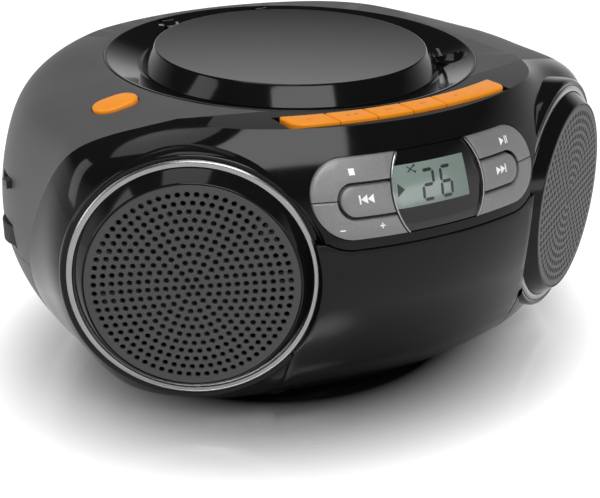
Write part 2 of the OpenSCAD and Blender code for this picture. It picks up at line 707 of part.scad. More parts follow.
module laser_pickup() color(dark) deck_frame() difference() {
    union() {
        translate([-rod_x_place - 3.5, -32.5, rod_z_place - 3]) cube([2 * rod_x_place + 7, laser_l, 6]);
        translate([-laser_w / 2, -30.5, rod_z_place]) cube([laser_w, laser_l - 4,
            -well_depth - 3 - rod_z_place]);
        translate([0, -24.5, -well_depth - 4]) cylinder(3.2, r = 3);
    }
    for (side = [-1, 1]) translate([side * rod_x_place, 0, rod_z_place]) rotate([90, 0, 0])
        cylinder(70, r = rod_r + pin_gap);
}

// Cassette door: a slab of the front's own curve with a scooped top and two hinge lugs
module cassette_door() color(gloss_black) difference() {
    union() {
        difference() {
            intersection() {
                seat() front_slab(-0.96, 0.3, 20, 14, 0, wall);
                from_front(-body_front - 5, -60) difference() {
                    translate([-door_x, door_z]) square([2 * door_x, door_top - door_z]);
                    stadium(group_r + 5, group_x, group_z);
                }
            }
            for (side = [-1, 1]) speaker_frame(side) translate([0, 0, -60])
                cylinder(100, r = trim_r + door_gap + seat_gap, $fn = 128);
        }
        for (side = [-1, 1]) on_side(side) {
            from_front(front_at(door_x, door_hinge_z, wall) - 0.6, -door_hinge_y)
                translate([door_x - 7, door_hinge_z - 3]) square([6.5, 6]);
            rod_x(-door_hinge_y, door_hinge_z, door_x - 7, door_x - 0.5, 3);
        }
    }
    for (side = [-1, 1]) on_side(side)
        rod_x(-door_hinge_y, door_hinge_z, door_x - 9, door_x + 1, pin_r + pin_gap);
}

// Cassette holder: two channels and a shelf behind the door
rail_x = tape_w / 2 + 0.3;
holder_top = tape_z + 57;
holder_low = tape_z - holder_wall;
module holder_side() seat() translate([rail_x, 0, 0]) rotate([90, 0, 90]) linear_extrude(2)
    polygon(concat([for (i = [0 : 8]) let (z = holder_low + (holder_top - holder_low) * i / 8)
            [front_at(rail_x + 2, z, wall) + 0.9, z]],
        [[-holder_back, holder_top], [-holder_back, holder_low]]));
module cassette_holder() color(dark) {
    for (side = [-1, 1]) on_side(side) {
        holder_side();
        box([rail_x - 5, -tape_back + 0.2, holder_low], [rail_x + 1, -holder_back, holder_top]);
    }
    box([-rail_x - 1, -tape_front + 0.4, holder_low], [rail_x + 1, -holder_back, tape_z - 0.1]);
}

// Deck chassis: the plate behind the cassette with bearings, guide studs and the motor's posts
module deck_chassis() color(steel) difference() {
    union() {
        from_front(-chassis_front, -chassis_back) difference() {
            translate([-bay_x - 2, bay_low]) square([2 * bay_x + 4, bay_tall]);
            translate([-bay_x + 6, stud_z - 18]) square([24, 18]);
        }
        rod_y(capstan_x, capstan_z, -chassis_back, -fly_y - run_gap, 4);
        for (x = stud_x) rod_y(x, stud_z, -chassis_front - 4.4, -chassis_front, 2);
        for (p = [[-9.5, 0], [0, -9.5]]) rod_y(motor_x + p[0], motor_z + p[1], -chassis_back,
            -fly_y + fly_t + 0.5, 2.5);
    }
    rod_y(capstan_x, capstan_z, -chassis_front - 5, -fly_y + 1, capstan_r + pin_gap);
    for (side = [-1, 1]) rod_y(side * hub_gap / 2, hub_z, -chassis_front - 5, -fly_y, pin_r + pin_gap);
}
stud_x = [-22, 6];
stud_z = tape_top + 7.2;
slide_low = stud_z - 8;

// Reels: each turns a hub of the cassette, and carries three fins
module reel(side) {
    x = side * hub_gap / 2;
    rod_y(x, hub_z, -chassis_front - 3.4, -chassis_front - run_gap, 9);
    rod_y(x, hub_z, -chassis_front - run_gap - 0.1, -chassis_back + 1.2, pin_r);
    rod_y(x, hub_z, -tape_back - 4, -chassis_front - 3, 3.4);
    for (turn = [90, 210, 330]) seat() translate([x, -tape_back - 3, hub_z]) rotate([0, turn, 0])
        translate([0, 0, -0.6]) cube([4.4, tape_back + 3 - chassis_front - 3, 1.2]);
}
module supply_reel() color("#d8d8d8") reel(-1);
module takeup_reel() color("#d8d8d8") reel(1);

// Capstan and flywheel, driven by a belt from the deck motor
module capstan_flywheel() color("#b9a469") {
    difference() {
        rod_y(capstan_x, capstan_z, -fly_y, -fly_y + fly_t, fly_r);
        seat() translate([capstan_x, 0, capstan_z]) rotate([90, 0, 0]) translate([0, 0, fly_y - fly_t / 2])
            rotate_extrude() translate([fly_r, 0]) square([2, 2.4], center = true);
    }
    rod_y(capstan_x, capstan_z, -tape_front + 2, -fly_y + 0.1, capstan_r);
}
module deck_motor() color(steel) {
    rod_y(motor_x, motor_z, -fly_y + fly_t + 0.5, -fly_y + fly_t + 24, motor_r);
    rod_y(motor_x, motor_z, -fly_y, -fly_y + fly_t + 0.6, 1);
}
module motor_pulley() color("#c8b070") difference() {
    rod_y(motor_x, motor_z, -fly_y + 0.2, -fly_y + fly_t - 0.2, pulley_r);
    rod_y(motor_x, motor_z, -fly_y - 1, -fly_y + fly_t + 1, 1 + pin_gap);
}
belt_t = 1;
module belt_loop(grow) hull() {
    translate([capstan_x, capstan_z]) circle(fly_r - 1 + run_gap + grow, $fn = 48);
    translate([motor_x, motor_z]) circle(pulley_r + run_gap + grow, $fn = 32);
}
module drive_belt() color(dark) from_front(-fly_y + fly_t / 2 - 1, -fly_y + fly_t / 2 + 1)
    difference() { belt_loop(belt_t); belt_loop(0); }

// Head slide: carries the play head and the pinch roller's pin down onto the tape
module head_slide() color(steel) {
    front = -chassis_front - 3.6;
    from_front(front, front + 1.4) difference() {
        union() {
            translate([-30, slide_low]) square([66, 13]);
            translate([33, slide_low]) square([6, key_shaft_z - slide_low - 0.3]);
        }
        for (x = stud_x) translate([x, 0]) {
            translate([0, stud_z]) circle(2 + run_gap);
            translate([0, stud_z + slide_travel]) circle(2 + run_gap);
            translate([-2 - run_gap, stud_z]) square([4 + 2 * run_gap, slide_travel]);
        }
        translate([capstan_x, capstan_z]) circle(4.5);
    }
    box([-12, -tape_front + 2, tape_top + 2.6], [2, front + 0.1, tape_top + 10]);
    rod_y(capstan_x, roller_z, -tape_front + 1, front + 0.2, 1);
}
module pinch_roller() color(dark) difference() {
    rod_y(capstan_x, roller_z, -tape_front + 2, -tape_back - 1, roller_r);
    rod_y(capstan_x, roller_z, -tape_front, -tape_back, 1 + pin_gap);
}

// Keys: five caps in one row that turn on a common shaft under the deck
key_ends = [-key_x, key_mid - 2 * key_w + 0.3, key_mid - key_w, key_mid, key_mid + key_w, key_x];
module key_shaft() color(steel)
    rod_x(-key_shaft_y, key_shaft_z, -key_x - 6, key_x + 6, pin_r);
module key(i) color(orange) {
    x0 = key_ends[i] + key_gap / 2;
    x1 = key_ends[i + 1] - key_gap / 2;
    difference() {
        union() {
            seat() translate([0, 0, key_top - key_h]) linear_extrude(key_h) intersection() {
                key_row(0, 0);
                translate([x0, -far / 2]) square([x1 - x0, far / 2]);
            }
            box([x0 + 0.5, -key_back - 1, key_shaft_z + 0.4], [x1 - 0.5, -key_shaft_y, key_shaft_z + 3]);
            box([x0 + 0.5, -key_back - 1.5, key_shaft_z + 0.4], [x1 - 0.5, -key_back, key_top - 2]);
            rod_x(-key_shaft_y, key_shaft_z, x0 + 0.5, x1 - 0.5, 3);
        }
        rod_x(-key_shaft_y, key_shaft_z, -far / 2, far / 2, pin_r + pin_gap);
    }
}
module pause_key() key(0);
module stop_open_key() key(1);
module forward_key() key(2);
module rewind_key() key(3);
module play_key() key(4);

// Bass button: an oval that leans with the shoulder of the deck
module bass_frame() seat() translate([bass_side - half_w, -26, deck_z - bass_drop]) rotate([0, -11, 0]) children();
module bass_outline(grow, h) {
    for (x = [-3, 3]) translate([x, 0, -h / 2]) cylinder(h, r = 8 + grow);
    translate([-3, -8 - grow, -h / 2]) cube([6, 16 + 2 * grow, h]);
}
module bass_button() color(orange) bass_frame() translate([0, 0, -1.4]) bass_outline(0, 5);

// Control group: a dark base with the window's frame, six caps and the window
module control_bezel() color(dark) {
    difference() {
        intersection() {
            group_slab(wall + 0.5, wall + 2.3);
            group_cut() stadium(group_r + 2.5, group_x, group_z);
        }
        for (side = [-1, 1]) speaker_frame(side) translate([0, 0, -60])
            cylinder(100, r = rim_r + run_gap, $fn = 128);
    }
    intersection() {
        group_slab(-0.3, wall + 0.9);
        group_cut() difference() {
            window_outline(frame_t);
            window_outline(0);
        }
    }
    for (side = [-1, 1]) difference() {
        from_front(-body_front + 6, -display_y - 2.7) translate([side * 25 - 1.5, group_z - 1])
            square([3, 2]);
        group_slab(-20, wall + 1.6);
    }
}
module display_window() color("#8d9a7c") intersection() {
    group_slab(0.2, wall - 0.2);
    group_cut() window_outline(-seat_gap);
}
module display_module() color("#6f7c62") seat() translate([0, -display_y, group_z])
    rotate([-20, 0, 0]) cube([54, 4, 26], center = true);
module stop_button() color(button_grey) cap(-1) outer_outline(true);
module album_rocker() color(button_grey) cap(-1) outer_outline(false);
module previous_button() color(button_grey) cap(-1) difference() {
    inner_outline(0);
    window_outline(frame_t + button_gap);
}
module play_pause_button() color(button_grey) cap(1) outer_outline(true);
module mode_rocker() color(button_grey) cap(1) outer_outline(false);
module next_button() color(button_grey) cap(1) difference() {
    inner_outline(0);
    window_outline(frame_t + button_gap);
}

// Loudspeakers
module grille(side) color("#3a3b3d") speaker_frame(side)
    translate([0, 0, -grille_t]) cylinder(grille_t, r = grille_r, $fn = 128);
module speaker_bezel(side) color(gloss_black) speaker_frame(side)
    ring([[grille_r - 2.2, -bezel_drop - wall], [bezel_r, -bezel_drop - wall],
        [bezel_r, -bezel_drop], [grille_r + 0.4, 0], [grille_r + seat_gap, 0],
        [grille_r + seat_gap, -grille_t - 0.05], [grille_r - 2.2, -grille_t - 0.05]]);
module trim_ring(side) color("#c4c6c8") speaker_frame(side)
    ring([[bezel_r + seat_gap, -bezel_drop - wall], [trim_r, -bezel_drop - wall],
        [trim_r, -bezel_drop - 0.9], [trim_r - 1, -bezel_drop - 0.1],
        [bezel_r + seat_gap, -bezel_drop - 0.1]]);
module driver(side) speaker_frame(side) {
    back = -bezel_drop - 5.6;
    color(steel) ring([[driver_r - 3, back - 1.5], [driver_r - 3, back], [driver_r, back],
        [driver_r, back - 1.5], [driver_r - 4, back - 3], [magnet_r - 5, back - driver_depth + 8],
        [magnet_r, back - driver_depth + 8], [magnet_r, back - driver_depth - 6],
        [0, back - driver_depth - 6], [0, back - driver_depth + 4],
        [magnet_r - 8, back - driver_depth + 6], [magnet_r - 8, back - driver_depth + 9],
        [driver_r - 7, back - 2.5]]);
    color(dark) ring([[0, back - 17], [0, back - 15.8], [9, back - 13], [driver_r - 6, back - 1],
        [driver_r - 2.9, back - 0.1], [driver_r - 2.9, back - 1.4], [driver_r - 5.6, back - 2.4],
        [9, back - 14.4]]);
}
module left_grille() grille(-1);
module right_grille() grille(1);
module left_speaker_bezel() speaker_bezel(-1);
module right_speaker_bezel() speaker_bezel(1);
module left_trim_ring() trim_ring(-1);
module right_trim_ring() trim_ring(1);
module left_driver() driver(-1);
module right_driver() driver(1);

// Sides and back
module volume_wheel() color(dark) wheel(-1);
module tuning_wheel() color(dark) wheel(1);
module source_switch() color(dark) box([-half_w - 0.6, wheel_y - 6, switch_z - 1.9],
    [-half_w + 8, wheel_y, switch_z + 1.9]);
module headphone_jack() color(dark) difference() {
    rod_x(0, jack_z, half_w - jack_depth - 4, half_w - 1, 5.4);
    rod_x(0, jack_z, half_w - 1 - jack_depth, half_w + 1, jack_r);
}
module aerial_base() color(dark) {
    rod_y(aerial_x, aerial_z, body_back - 28, aerial_y - aerial_r - 1.6, 6);
    rod_y(aerial_x, aerial_z, body_back - 28, aerial_y + aerial_r, 2);
}
module aerial_tube() color("#d0d2d4") difference() {
    union() {
        rod_y(aerial_x, aerial_z, aerial_y - aerial_r - 1.3, aerial_y + aerial_r + 0.5, 5.5);
        rod_x(aerial_y, aerial_z, aerial_x - 5 - aerial_l, aerial_x - 3, aerial_r);
    }
    rod_y(aerial_x, aerial_z, body_back - 28, aerial_y + aerial_r + 2, 2 + pin_gap);
    rod_x(aerial_y, aerial_z, aerial_x - 6 - aerial_l, aerial_x - 9, aerial_r - 0.8 + pin_gap);
}
module aerial_rod() color("#e2e4e6") {
    rod_x(aerial_y, aerial_z, aerial_x - 8 - aerial_l, aerial_x - 10, aerial_r - 0.8);
    rod_x(aerial_y, aerial_z, aerial_x - 12 - aerial_l, aerial_x - 5.5 - aerial_l, aerial_r);
}

// Power
core_x = half_w - 73.5;
inlet_x = core_x - 14;
inlet_y = 85;
inlet_z = 31;
module power_transformer() color("#6b6d72") {
    x = core_x;
    difference() {
        box([x - core_w / 2, 12, foot_h + wall], [x + core_w / 2, 32, foot_h + wall + core_h]);
        for (side = [-1, 1]) box([x + side * core_w / 4 - 4, 10, foot_h + wall + 7],
            [x + side * core_w / 4 + 4, 34, foot_h + wall + core_h - 7]);
    }
    color("#b5622c") difference() {
        box([x - core_w / 4 - 3.6, 7, foot_h + wall + 7.4],
            [x + core_w / 4 + 3.6, 37, foot_h + wall + core_h - 7.4]);
        box([x - core_w / 4 + 4.2, 11.9, foot_h], [x + core_w / 4 - 4.2, 32.1, foot_h + wall + core_h]);
    }
}
module ac_inlet() color(dark) {
    difference() {
        box([inlet_x - 10.9, inlet_y - 20, inlet_z - 7.9], [inlet_x + 10.9, inlet_y, inlet_z + 7.9]);
        for (side = [-1, 1]) rod_y(inlet_x + side * 3.2, inlet_z, inlet_y - 14, inlet_y + 2, 3.6);
    }
    for (side = [-1, 1]) rod_y(inlet_x + side * 3.2, inlet_z, inlet_y - 15, inlet_y - 2, 1.15);
}

// Feet and screws
module feet() color(dark) for (x = [-foot_x, foot_x]) for (y = [-foot_front, foot_back])
    rod_z(x, y, 0, foot_h + 1, foot_r);
module case_screws() color(steel) for (side = [-1, 1]) {
    rod_z(side * foot_x, foot_back, foot_h + 1.1, foot_h + 3, head_r);
    rod_z(side * foot_x, foot_back, foot_h + 1.1, foot_h + 1.1 + screw_l, screw_r);
}

front_panel();
top_cover();
bottom_cabinet();
cd_surround();
cd_lid();
hinge_pins();
disc_clamp();
turntable();
disc_motor();
pickup_chassis();
sled_rods();
laser_pickup();
cassette_door();
cassette_holder();
deck_chassis();
supply_reel();
takeup_reel();
capstan_flywheel();
deck_motor();
motor_pulley();
drive_belt();
head_slide();
pinch_roller();
key_shaft();
pause_key();
stop_open_key();
forward_key();
rewind_key();
play_key();
bass_button();
control_bezel();
stop_button();
previous_button();
album_rocker();
play_pause_button();
next_button();
mode_rocker();
display_window();
display_module();
main_board();
left_grille();
right_grille();
left_speaker_bezel();
right_speaker_bezel();
left_trim_ring();
right_trim_ring();
left_driver();
right_driver();
volume_wheel();
tuning_wheel();
source_switch();
headphone_jack();
aerial_base();
aerial_tube();
aerial_rod();
battery_door();
power_transformer();
ac_inlet();
feet();
case_screws();
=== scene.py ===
import math

import bmesh
import bpy
from mathutils import Matrix, Vector
from mathutils.bvhtree import BVHTree


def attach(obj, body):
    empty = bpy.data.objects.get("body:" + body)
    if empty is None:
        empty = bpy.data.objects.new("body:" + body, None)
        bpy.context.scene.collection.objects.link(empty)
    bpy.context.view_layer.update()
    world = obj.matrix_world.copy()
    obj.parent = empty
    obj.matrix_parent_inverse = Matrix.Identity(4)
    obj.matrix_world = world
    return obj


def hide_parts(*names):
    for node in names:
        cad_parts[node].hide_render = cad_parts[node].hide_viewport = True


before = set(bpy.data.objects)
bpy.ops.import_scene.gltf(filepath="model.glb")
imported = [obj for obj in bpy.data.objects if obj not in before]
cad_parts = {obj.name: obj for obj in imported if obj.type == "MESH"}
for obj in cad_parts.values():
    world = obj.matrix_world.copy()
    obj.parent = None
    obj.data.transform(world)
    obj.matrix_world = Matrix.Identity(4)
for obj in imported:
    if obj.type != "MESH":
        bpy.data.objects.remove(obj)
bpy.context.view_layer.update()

# Camera, looking down from the front left with a long lens.
# The stage is a white, slightly glossy table under a white sky.
scene = bpy.context.scene
camera = bpy.data.objects.new("camera", bpy.data.cameras.new("camera"))
sight = Vector((0.47179, 0.78425, -0.40296))  # the way the camera looks
camera.location = (-0.33156, -0.54974, 0.30797)
camera.rotation_euler = sight.to_track_quat("-Z", "Y").to_euler()
camera.data.lens = 75.94
camera.data.sensor_width = 36
camera.data.shift_x = 0.006
camera.data.shift_y = 0.0196
scene.collection.objects.link(camera)
scene.camera = camera
scene.view_settings.view_transform = "Standard"


class Wire:
    """An output of a shader node. Arithmetic on it adds Math nodes."""

    def __init__(self, nodes, socket):
        self.nodes, self.socket = nodes, socket

    def output(self, name):
        """Another output of the same node."""
        return Wire(self.nodes, self.socket.node.outputs[name])

    def math(self, operation, *values):
        return self.nodes.node("ShaderNodeMath", {"operation": operation}, dict(enumerate(values)))

    def larger(self, other):
        return self.math("MAXIMUM", self, other)

    def __add__(self, other):
        return self.math("ADD", self, other)

    def __rsub__(self, other):
        return self.math("SUBTRACT", other, self)

    def __mul__(self, other):
        return self.math("MULTIPLY", self, other)

    def __gt__(self, other):
        return self.math("GREATER_THAN", self, other)

    def __lt__(self, other):
        return self.math("LESS_THAN", self, other)

    __radd__, __rmul__ = __add__, __mul__


class Nodes:
    """A tree of shader nodes."""

    def __init__(self, tree):
        self.tree = tree

    def node(self, kind, settings=None, inputs=None, output=0):
        """Adds a node of that type, with its settings and its sockets' values or wires."""
        made = self.tree.nodes.new(kind)
        for key, value in (settings or {}).items():
            if key == "stops":
                for stop, (place, colour) in zip(made.color_ramp.elements, value):
                    stop.position, stop.color = place, (*colour, 1)
            else:
                setattr(made, key, value)
        for key, value in (inputs or {}).items():
            if isinstance(value, Wire):
                self.tree.links.new(value.socket, made.inputs[key])
            else:
                made.inputs[key].default_value = value
        return Wire(self, made.outputs[output])

    def mix(self, share, first, second):
        """Colour mix: first where share is 0, second where it is 1."""
        colours = {6: first, 7: second}
        for key, colour in colours.items():
            if not isinstance(colour, Wire):
                colours[key] = (*colour, 1)
        return self.node("ShaderNodeMix", {"data_type": "RGBA"}, {0: share, **colours}, output=2)

    def end(self, wire, node, socket):
        """Links a wire to a socket of a node that the tree has from the start."""
        self.tree.links.new(wire.socket, self.tree.nodes[node].inputs[socket])


class Finish(Nodes):
    """A material made of nodes round a Principled BSDF."""

    def __init__(self, name):
        self.material = bpy.data.materials.new(name)
        self.material.use_nodes = True
        super().__init__(self.material.node_tree)
        self.shader = self.tree.nodes["Principled BSDF"]

    def place(self):
        return self.node("ShaderNodeTexCoord", output="Object")

    def noise(self, size, detail=2, vector=None, roughness=0.5):
        """Noise with lumps of about that size in metres, from 0 to 1."""
        return self.node("ShaderNodeTexNoise", {}, {"Vector": vector or self.place(),
            "Scale": 1 / size, "Detail": detail, "Roughness": roughness})

    def bump(self, height, depth, strength=1.0):
        """Bump of that depth in metres."""
        return self.node("ShaderNodeBump", {}, {"Height": height, "Distance": depth,
            "Strength": strength})

    def set(self, **values):
        """Sets or links sockets of the shader, named with underscores for spaces."""
        for key, value in values.items():
            socket = self.shader.inputs[key.replace("_", " ")]
            if isinstance(value, Wire):
                self.tree.links.new(value.socket, socket)
            else:
                socket.default_value = (*value, 1) if isinstance(value, tuple) else value
        return self


# Table: white paper that keeps the shadow, under a gloss that mirrors the object's foot. The gloss
# is strong under the object and fades out round an oval in front of its middle.
table_top = Finish("white_table")
table_top.set(Base_Color=(0.5, 0.5, 0.5), Roughness=0.9, Specular_IOR_Level=0.0)
ray = table_top.node("ShaderNodeLightPath", output="Is Camera Ray")
seen = ray.larger(ray.output("Is Glossy Ray")).larger(ray.output("Is Transmission Ray"))
spot = table_top.node("ShaderNodeSeparateXYZ", {}, {0: table_top.place()})
aside = spot + 0.02
ahead = spot.output("Y") + 0.03
oval = aside * aside * 36 + ahead * ahead * 48
share = table_top.node("ShaderNodeMapRange", {}, {0: oval, 1: 0.25, 2: 1.08, 3: 1.0, 4: 0.0})
paper = table_top.node("ShaderNodeBsdfDiffuse", {}, {"Color": (0.45, 0.45, 0.45, 1)})
glow = table_top.node("ShaderNodeEmission", {}, {"Color": (1, 1, 1, 1), "Strength": 0.72})
lit_paper = table_top.node("ShaderNodeAddShader", {}, {0: paper, 1: glow})
mirror = table_top.node("ShaderNodeBsdfAnisotropic", {}, {"Color": (1, 1, 1, 1), "Roughness": 0.2})
sheet = table_top.node("ShaderNodeMixShader", {}, {0: share, 1: lit_paper, 2: mirror})
plain_paper = Wire(table_top, table_top.shader.outputs[0])
both = table_top.node("ShaderNodeMixShader", {}, {0: seen, 1: plain_paper, 2: sheet})
table_top.end(both, "Material Output", "Surface")

bm = bmesh.new()
bmesh.ops.create_grid(bm, x_segments=1, y_segments=1, size=4)
table_mesh = bpy.data.meshes.new("table")
bm.to_mesh(table_mesh)
bm.free()
table_mesh.materials.append(table_top.material)
table = bpy.data.objects.new("table", table_mesh)
scene.collection.objects.link(table)

# Sky: white where the camera sees it, and a soft even grey light on the object. A reflection sees
# white near the horizon and a dark ceiling above it, so that the gloss of the deck stays black.
world = bpy.data.worlds.new("sky")
scene.world = world
world.use_nodes = True
sky = Nodes(world.node_tree)
way = sky.node("ShaderNodeTexCoord", output="Generated")
height = sky.node("ShaderNodeSeparateXYZ", {}, {0: way}, output="Z")
ceiling = sky.node("ShaderNodeValToRGB", {"stops": [(0.19, (1, 1, 1)), (0.43, (0.03, 0.03, 0.03))]},
    {0: height})
ray = sky.node("ShaderNodeLightPath", output="Is Camera Ray")
lit = sky.mix(ray.output("Is Glossy Ray"), (0.42, 0.42, 0.43), ceiling)
sky.end(sky.mix(ray.larger(ray.output("Is Transmission Ray")), lit, (1, 1, 1)), "Background", "Color")


def softbox(name, place, aim, width, height, watts):
    """A rectangular studio lamp at `place` that points at `aim`."""
    lamp = bpy.data.lights.new(name, "AREA")
    lamp.shape = "RECTANGLE"
    lamp.size, lamp.size_y, lamp.energy = width, height, watts
    stand = bpy.data.objects.new(name, lamp)
    stand.location = place
    stand.rotation_euler = (Vector(aim) - Vector(place)).to_track_quat("-Z", "Y").to_euler()
    scene.collection.objects.link(stand)


# Lamps: one large softbox overhead, one that draws the bright band along the front's shoulder, one
# for the left rim and a weak one low in front.
softbox("overhead", (-0.1, 0.1, 1.5), (0, 0, 0.08), 1.2, 0.8, 9)
softbox("strip", (-0.3, -0.95, 1.15), (0, 0, 0.1), 1.0, 0.45, 12)
softbox("left_rim", (-1.5, 0.5, 0.8), (0, 0, 0.1), 0.5, 1.2, 7)
softbox("front_fill", (0.5, -1.7, 0.55), (0, 0, 0.05), 1.4, 0.25, 3)


# Cabinet: a pebble of three moulded covers with a 2.5 mm wall, screwed together. Its outline seen
# from above bulges towards the loudspeakers, and the sides draw in above and below the widest line.
# Lengths are in millimetres here, and a finished piece is in metres.
waist_y = 2.5  # the widest line lies this far from the frame's origin
half_w, body_front, body_back = 157.5, 133, 122
waist_z, foot_h, deck_z, wall = 78, 3, 141.5, 2.5
deck_slope = math.tan(math.radians(2))
turns, levels = 288, 96


def ease(a, b, x):
    """A smooth step from 0 at a to 1 at b."""
    t = min(max((x - a) / (b - a), 0), 1)
    return t * t * (3 - 2 * t)


def bell(x, middle, spread):
    """A bell curve, 1 at its middle."""
    return math.exp(-((x - middle) / spread) ** 2)


def fold(phi):
    """Degrees that a turn lies in front of the nearer side."""
    return math.degrees(math.atan2(-math.sin(phi), abs(math.cos(phi))))


def deck_at(y):
    """Height of the sloping deck at a depth."""
    return deck_z + deck_slope * y


def body_point(phi, v, inset=0.0):
    """A point of the cabinet's face, or of a face `inset` below it. phi turns round it, v climbs it."""
    front = math.sin(phi) < 0
    bulge = 1 + 0.08 * bell(fold(phi), 27, 12) if front else 1
    if v < 0:
        draw = 0.215 - (0.07 * bell(fold(phi), 44, 19) if front else 0)
        narrow = 1 - draw * v * v - 0.03 * v ** 16
    else:
        front_share = ease(0.35, 0.8, -math.sin(phi))
        back_share = ease(0.2, 0.9, math.sin(phi))
        draw = 0.12 + 0.045 * front_share - 0.06 * back_share
        roll = 0.24 * (1 - front_share) * (1 - 0.7 * back_share)
        narrow = 1 - draw * v * v - roll * v ** 12
    x = (half_w - inset) * math.cos(phi) * bulge * narrow
    y = ((body_front if front else body_back) - inset) * math.sin(phi) * bulge * narrow
    z = waist_z + v * (waist_z - foot_h - inset if v < 0 else deck_at(y) - inset - waist_z)
    return Vector((x, y, z))


def cabinet(inset, around, up):
    """The whole cabinet as one closed solid: a grid bent round and closed at the deck and the foot."""
    bm = bmesh.new()
    bmesh.ops.create_grid(bm, x_segments=around, y_segments=up, size=1)
    for vert in bm.verts:
        rise = math.copysign(1 - (1 - abs(vert.co.y)) ** 2.2, vert.co.y)
        vert.co = body_point(math.pi * (1 if vert.co.x < -0.9999 else vert.co.x), rise, inset)
    bmesh.ops.remove_doubles(bm, verts=bm.verts, dist=0.001)
    bmesh.ops.holes_fill(bm, edges=[edge for edge in bm.edges if edge.is_boundary], sides=0)
    bmesh.ops.poke(bm, faces=[face for face in bm.faces if len(face.verts) > 4])
    bmesh.ops.recalc_face_normals(bm, faces=bm.faces)
    return bm


def carve(solid, tool, operation="DIFFERENCE"):
    """Cuts `tool` out of `solid`, joins it or keeps what they share, and frees the tool."""
    holders = []
    for bm in (solid, tool):
        mesh = bpy.data.meshes.new("work")
        bm.to_mesh(mesh)
        holders.append(bpy.data.objects.new("work", mesh))
        scene.collection.objects.link(holders[-1])
    cut = holders[0].modifiers.new("cut", "BOOLEAN")
    cut.operation, cut.solver, cut.object = operation, "MANIFOLD", holders[1]
    shown = holders[0].evaluated_get(bpy.context.evaluated_depsgraph_get())
    result = bpy.data.meshes.new_from_object(shown)
    solid.clear()
    solid.from_mesh(result)
    tool.free()
    for holder in holders:
        mesh = holder.data
        bpy.data.objects.remove(holder)
        bpy.data.meshes.remove(mesh)
    bpy.data.meshes.remove(result)
    return solid


def turned(profile, steps=192):
    """A solid of revolution about Z from a closed outline of (radius, height)."""
    bm = bmesh.new()
    verts = [bm.verts.new((radius, 0, height)) for radius, height in profile]
    for a, b in zip(verts, verts[1:] + verts[:1]):
        bm.edges.new((a, b))
    bmesh.ops.spin(bm, geom=bm.verts[:] + bm.edges[:], cent=(0, 0, 0), axis=(0, 0, 1),
        angle=math.tau, steps=steps, use_merge=True)
    bmesh.ops.remove_doubles(bm, verts=bm.verts, dist=0.001)
    bmesh.ops.dissolve_degenerate(bm, dist=0.0001, edges=bm.edges)
    bmesh.ops.recalc_face_normals(bm, faces=bm.faces)
    return bm


def prism(outline, low, high):
    """A solid with that flat outline of (x, y) between two heights."""
    bm = bmesh.new()
    face = bm.faces.new([bm.verts.new((x, y, low)) for x, y in outline])
    top = bmesh.ops.extrude_face_region(bm, geom=[face])
    raised = [item for item in top["geom"] if isinstance(item, bmesh.types.BMVert)]
    bmesh.ops.translate(bm, verts=raised, vec=(0, 0, high - low))
    bmesh.ops.recalc_face_normals(bm, faces=bm.faces)
    return bm


def rod(radius, low, high, steps=192):
    """A round rod or drill about Z between two heights."""
    return turned([(0, low), (radius, low), (radius, high), (0, high)], steps)


def block(low, high):
    return prism([(low[0], low[1]), (high[0], low[1]), (high[0], high[1]), (low[0], high[1])],
        low[2], high[2])


def at(place):
    return Matrix.Translation(place)


def moved(bm, matrix):
    bmesh.ops.transform(bm, matrix=matrix, verts=bm.verts)
    return bm


def joined(first, *others):
    """Puts several meshes into the first."""
    for other in others:
        mesh = bpy.data.meshes.new("work")
        other.to_mesh(mesh)
        first.from_mesh(mesh)
        other.free()
        bpy.data.meshes.remove(mesh)
    return first


def turn(axis, degrees):
    return Matrix.Rotation(math.radians(degrees), 4, axis)


def node_copy(node):
    """The CAD node's own mesh in millimetres from the widest line, with its corners merged."""
    bm = bmesh.new()
    bm.from_mesh(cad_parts[node].data)
    bmesh.ops.scale(bm, verts=bm.verts, vec=(1000, 1000, 1000))
    bmesh.ops.translate(bm, verts=bm.verts, vec=(0, -waist_y, 0))
    bmesh.ops.remove_doubles(bm, verts=bm.verts, dist=0.002)
    return bm


def finished(name, bm, finish, body, stands_for=(), smooth=30, like=None):
    """Makes a piece in metres from a mesh in millimetres. Faces that lie on the mesh `like` take its
    smooth shading, so that a cut leaves no ripple."""
    bmesh.ops.translate(bm, verts=bm.verts, vec=(0, waist_y, 0))
    bmesh.ops.scale(bm, verts=bm.verts, vec=(0.001, 0.001, 0.001))
    limit = math.radians(smooth)
    for face in bm.faces:
        face.smooth = True
    for edge in bm.edges:
        edge.smooth = len(edge.link_faces) == 2 and edge.calc_face_angle(0) < limit
    mesh = bpy.data.meshes.new(name)
    bm.to_mesh(mesh)
    bm.free()
    if like is not None:
        tree, normals = like
        wanted = [Vector(corner.vector) for corner in mesh.corner_normals]
        for polygon in mesh.polygons:
            for loop in polygon.loop_indices:
                point = mesh.vertices[mesh.loops[loop].vertex_index].co
                near, _, index, distance = tree.find_nearest(point)
                if distance is not None and distance < 0.00012:
                    normal = normals(near, index)
                    if normal.dot(polygon.normal) > 0.9:
                        wanted[loop] = normal
        mesh.normals_split_custom_set(wanted)
    mesh.materials.append(finish.material)
    piece = bpy.data.objects.new(name, mesh)
    scene.collection.objects.link(piece)
    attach(piece, body)
    if stands_for:
        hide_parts(*stands_for)
    return piece


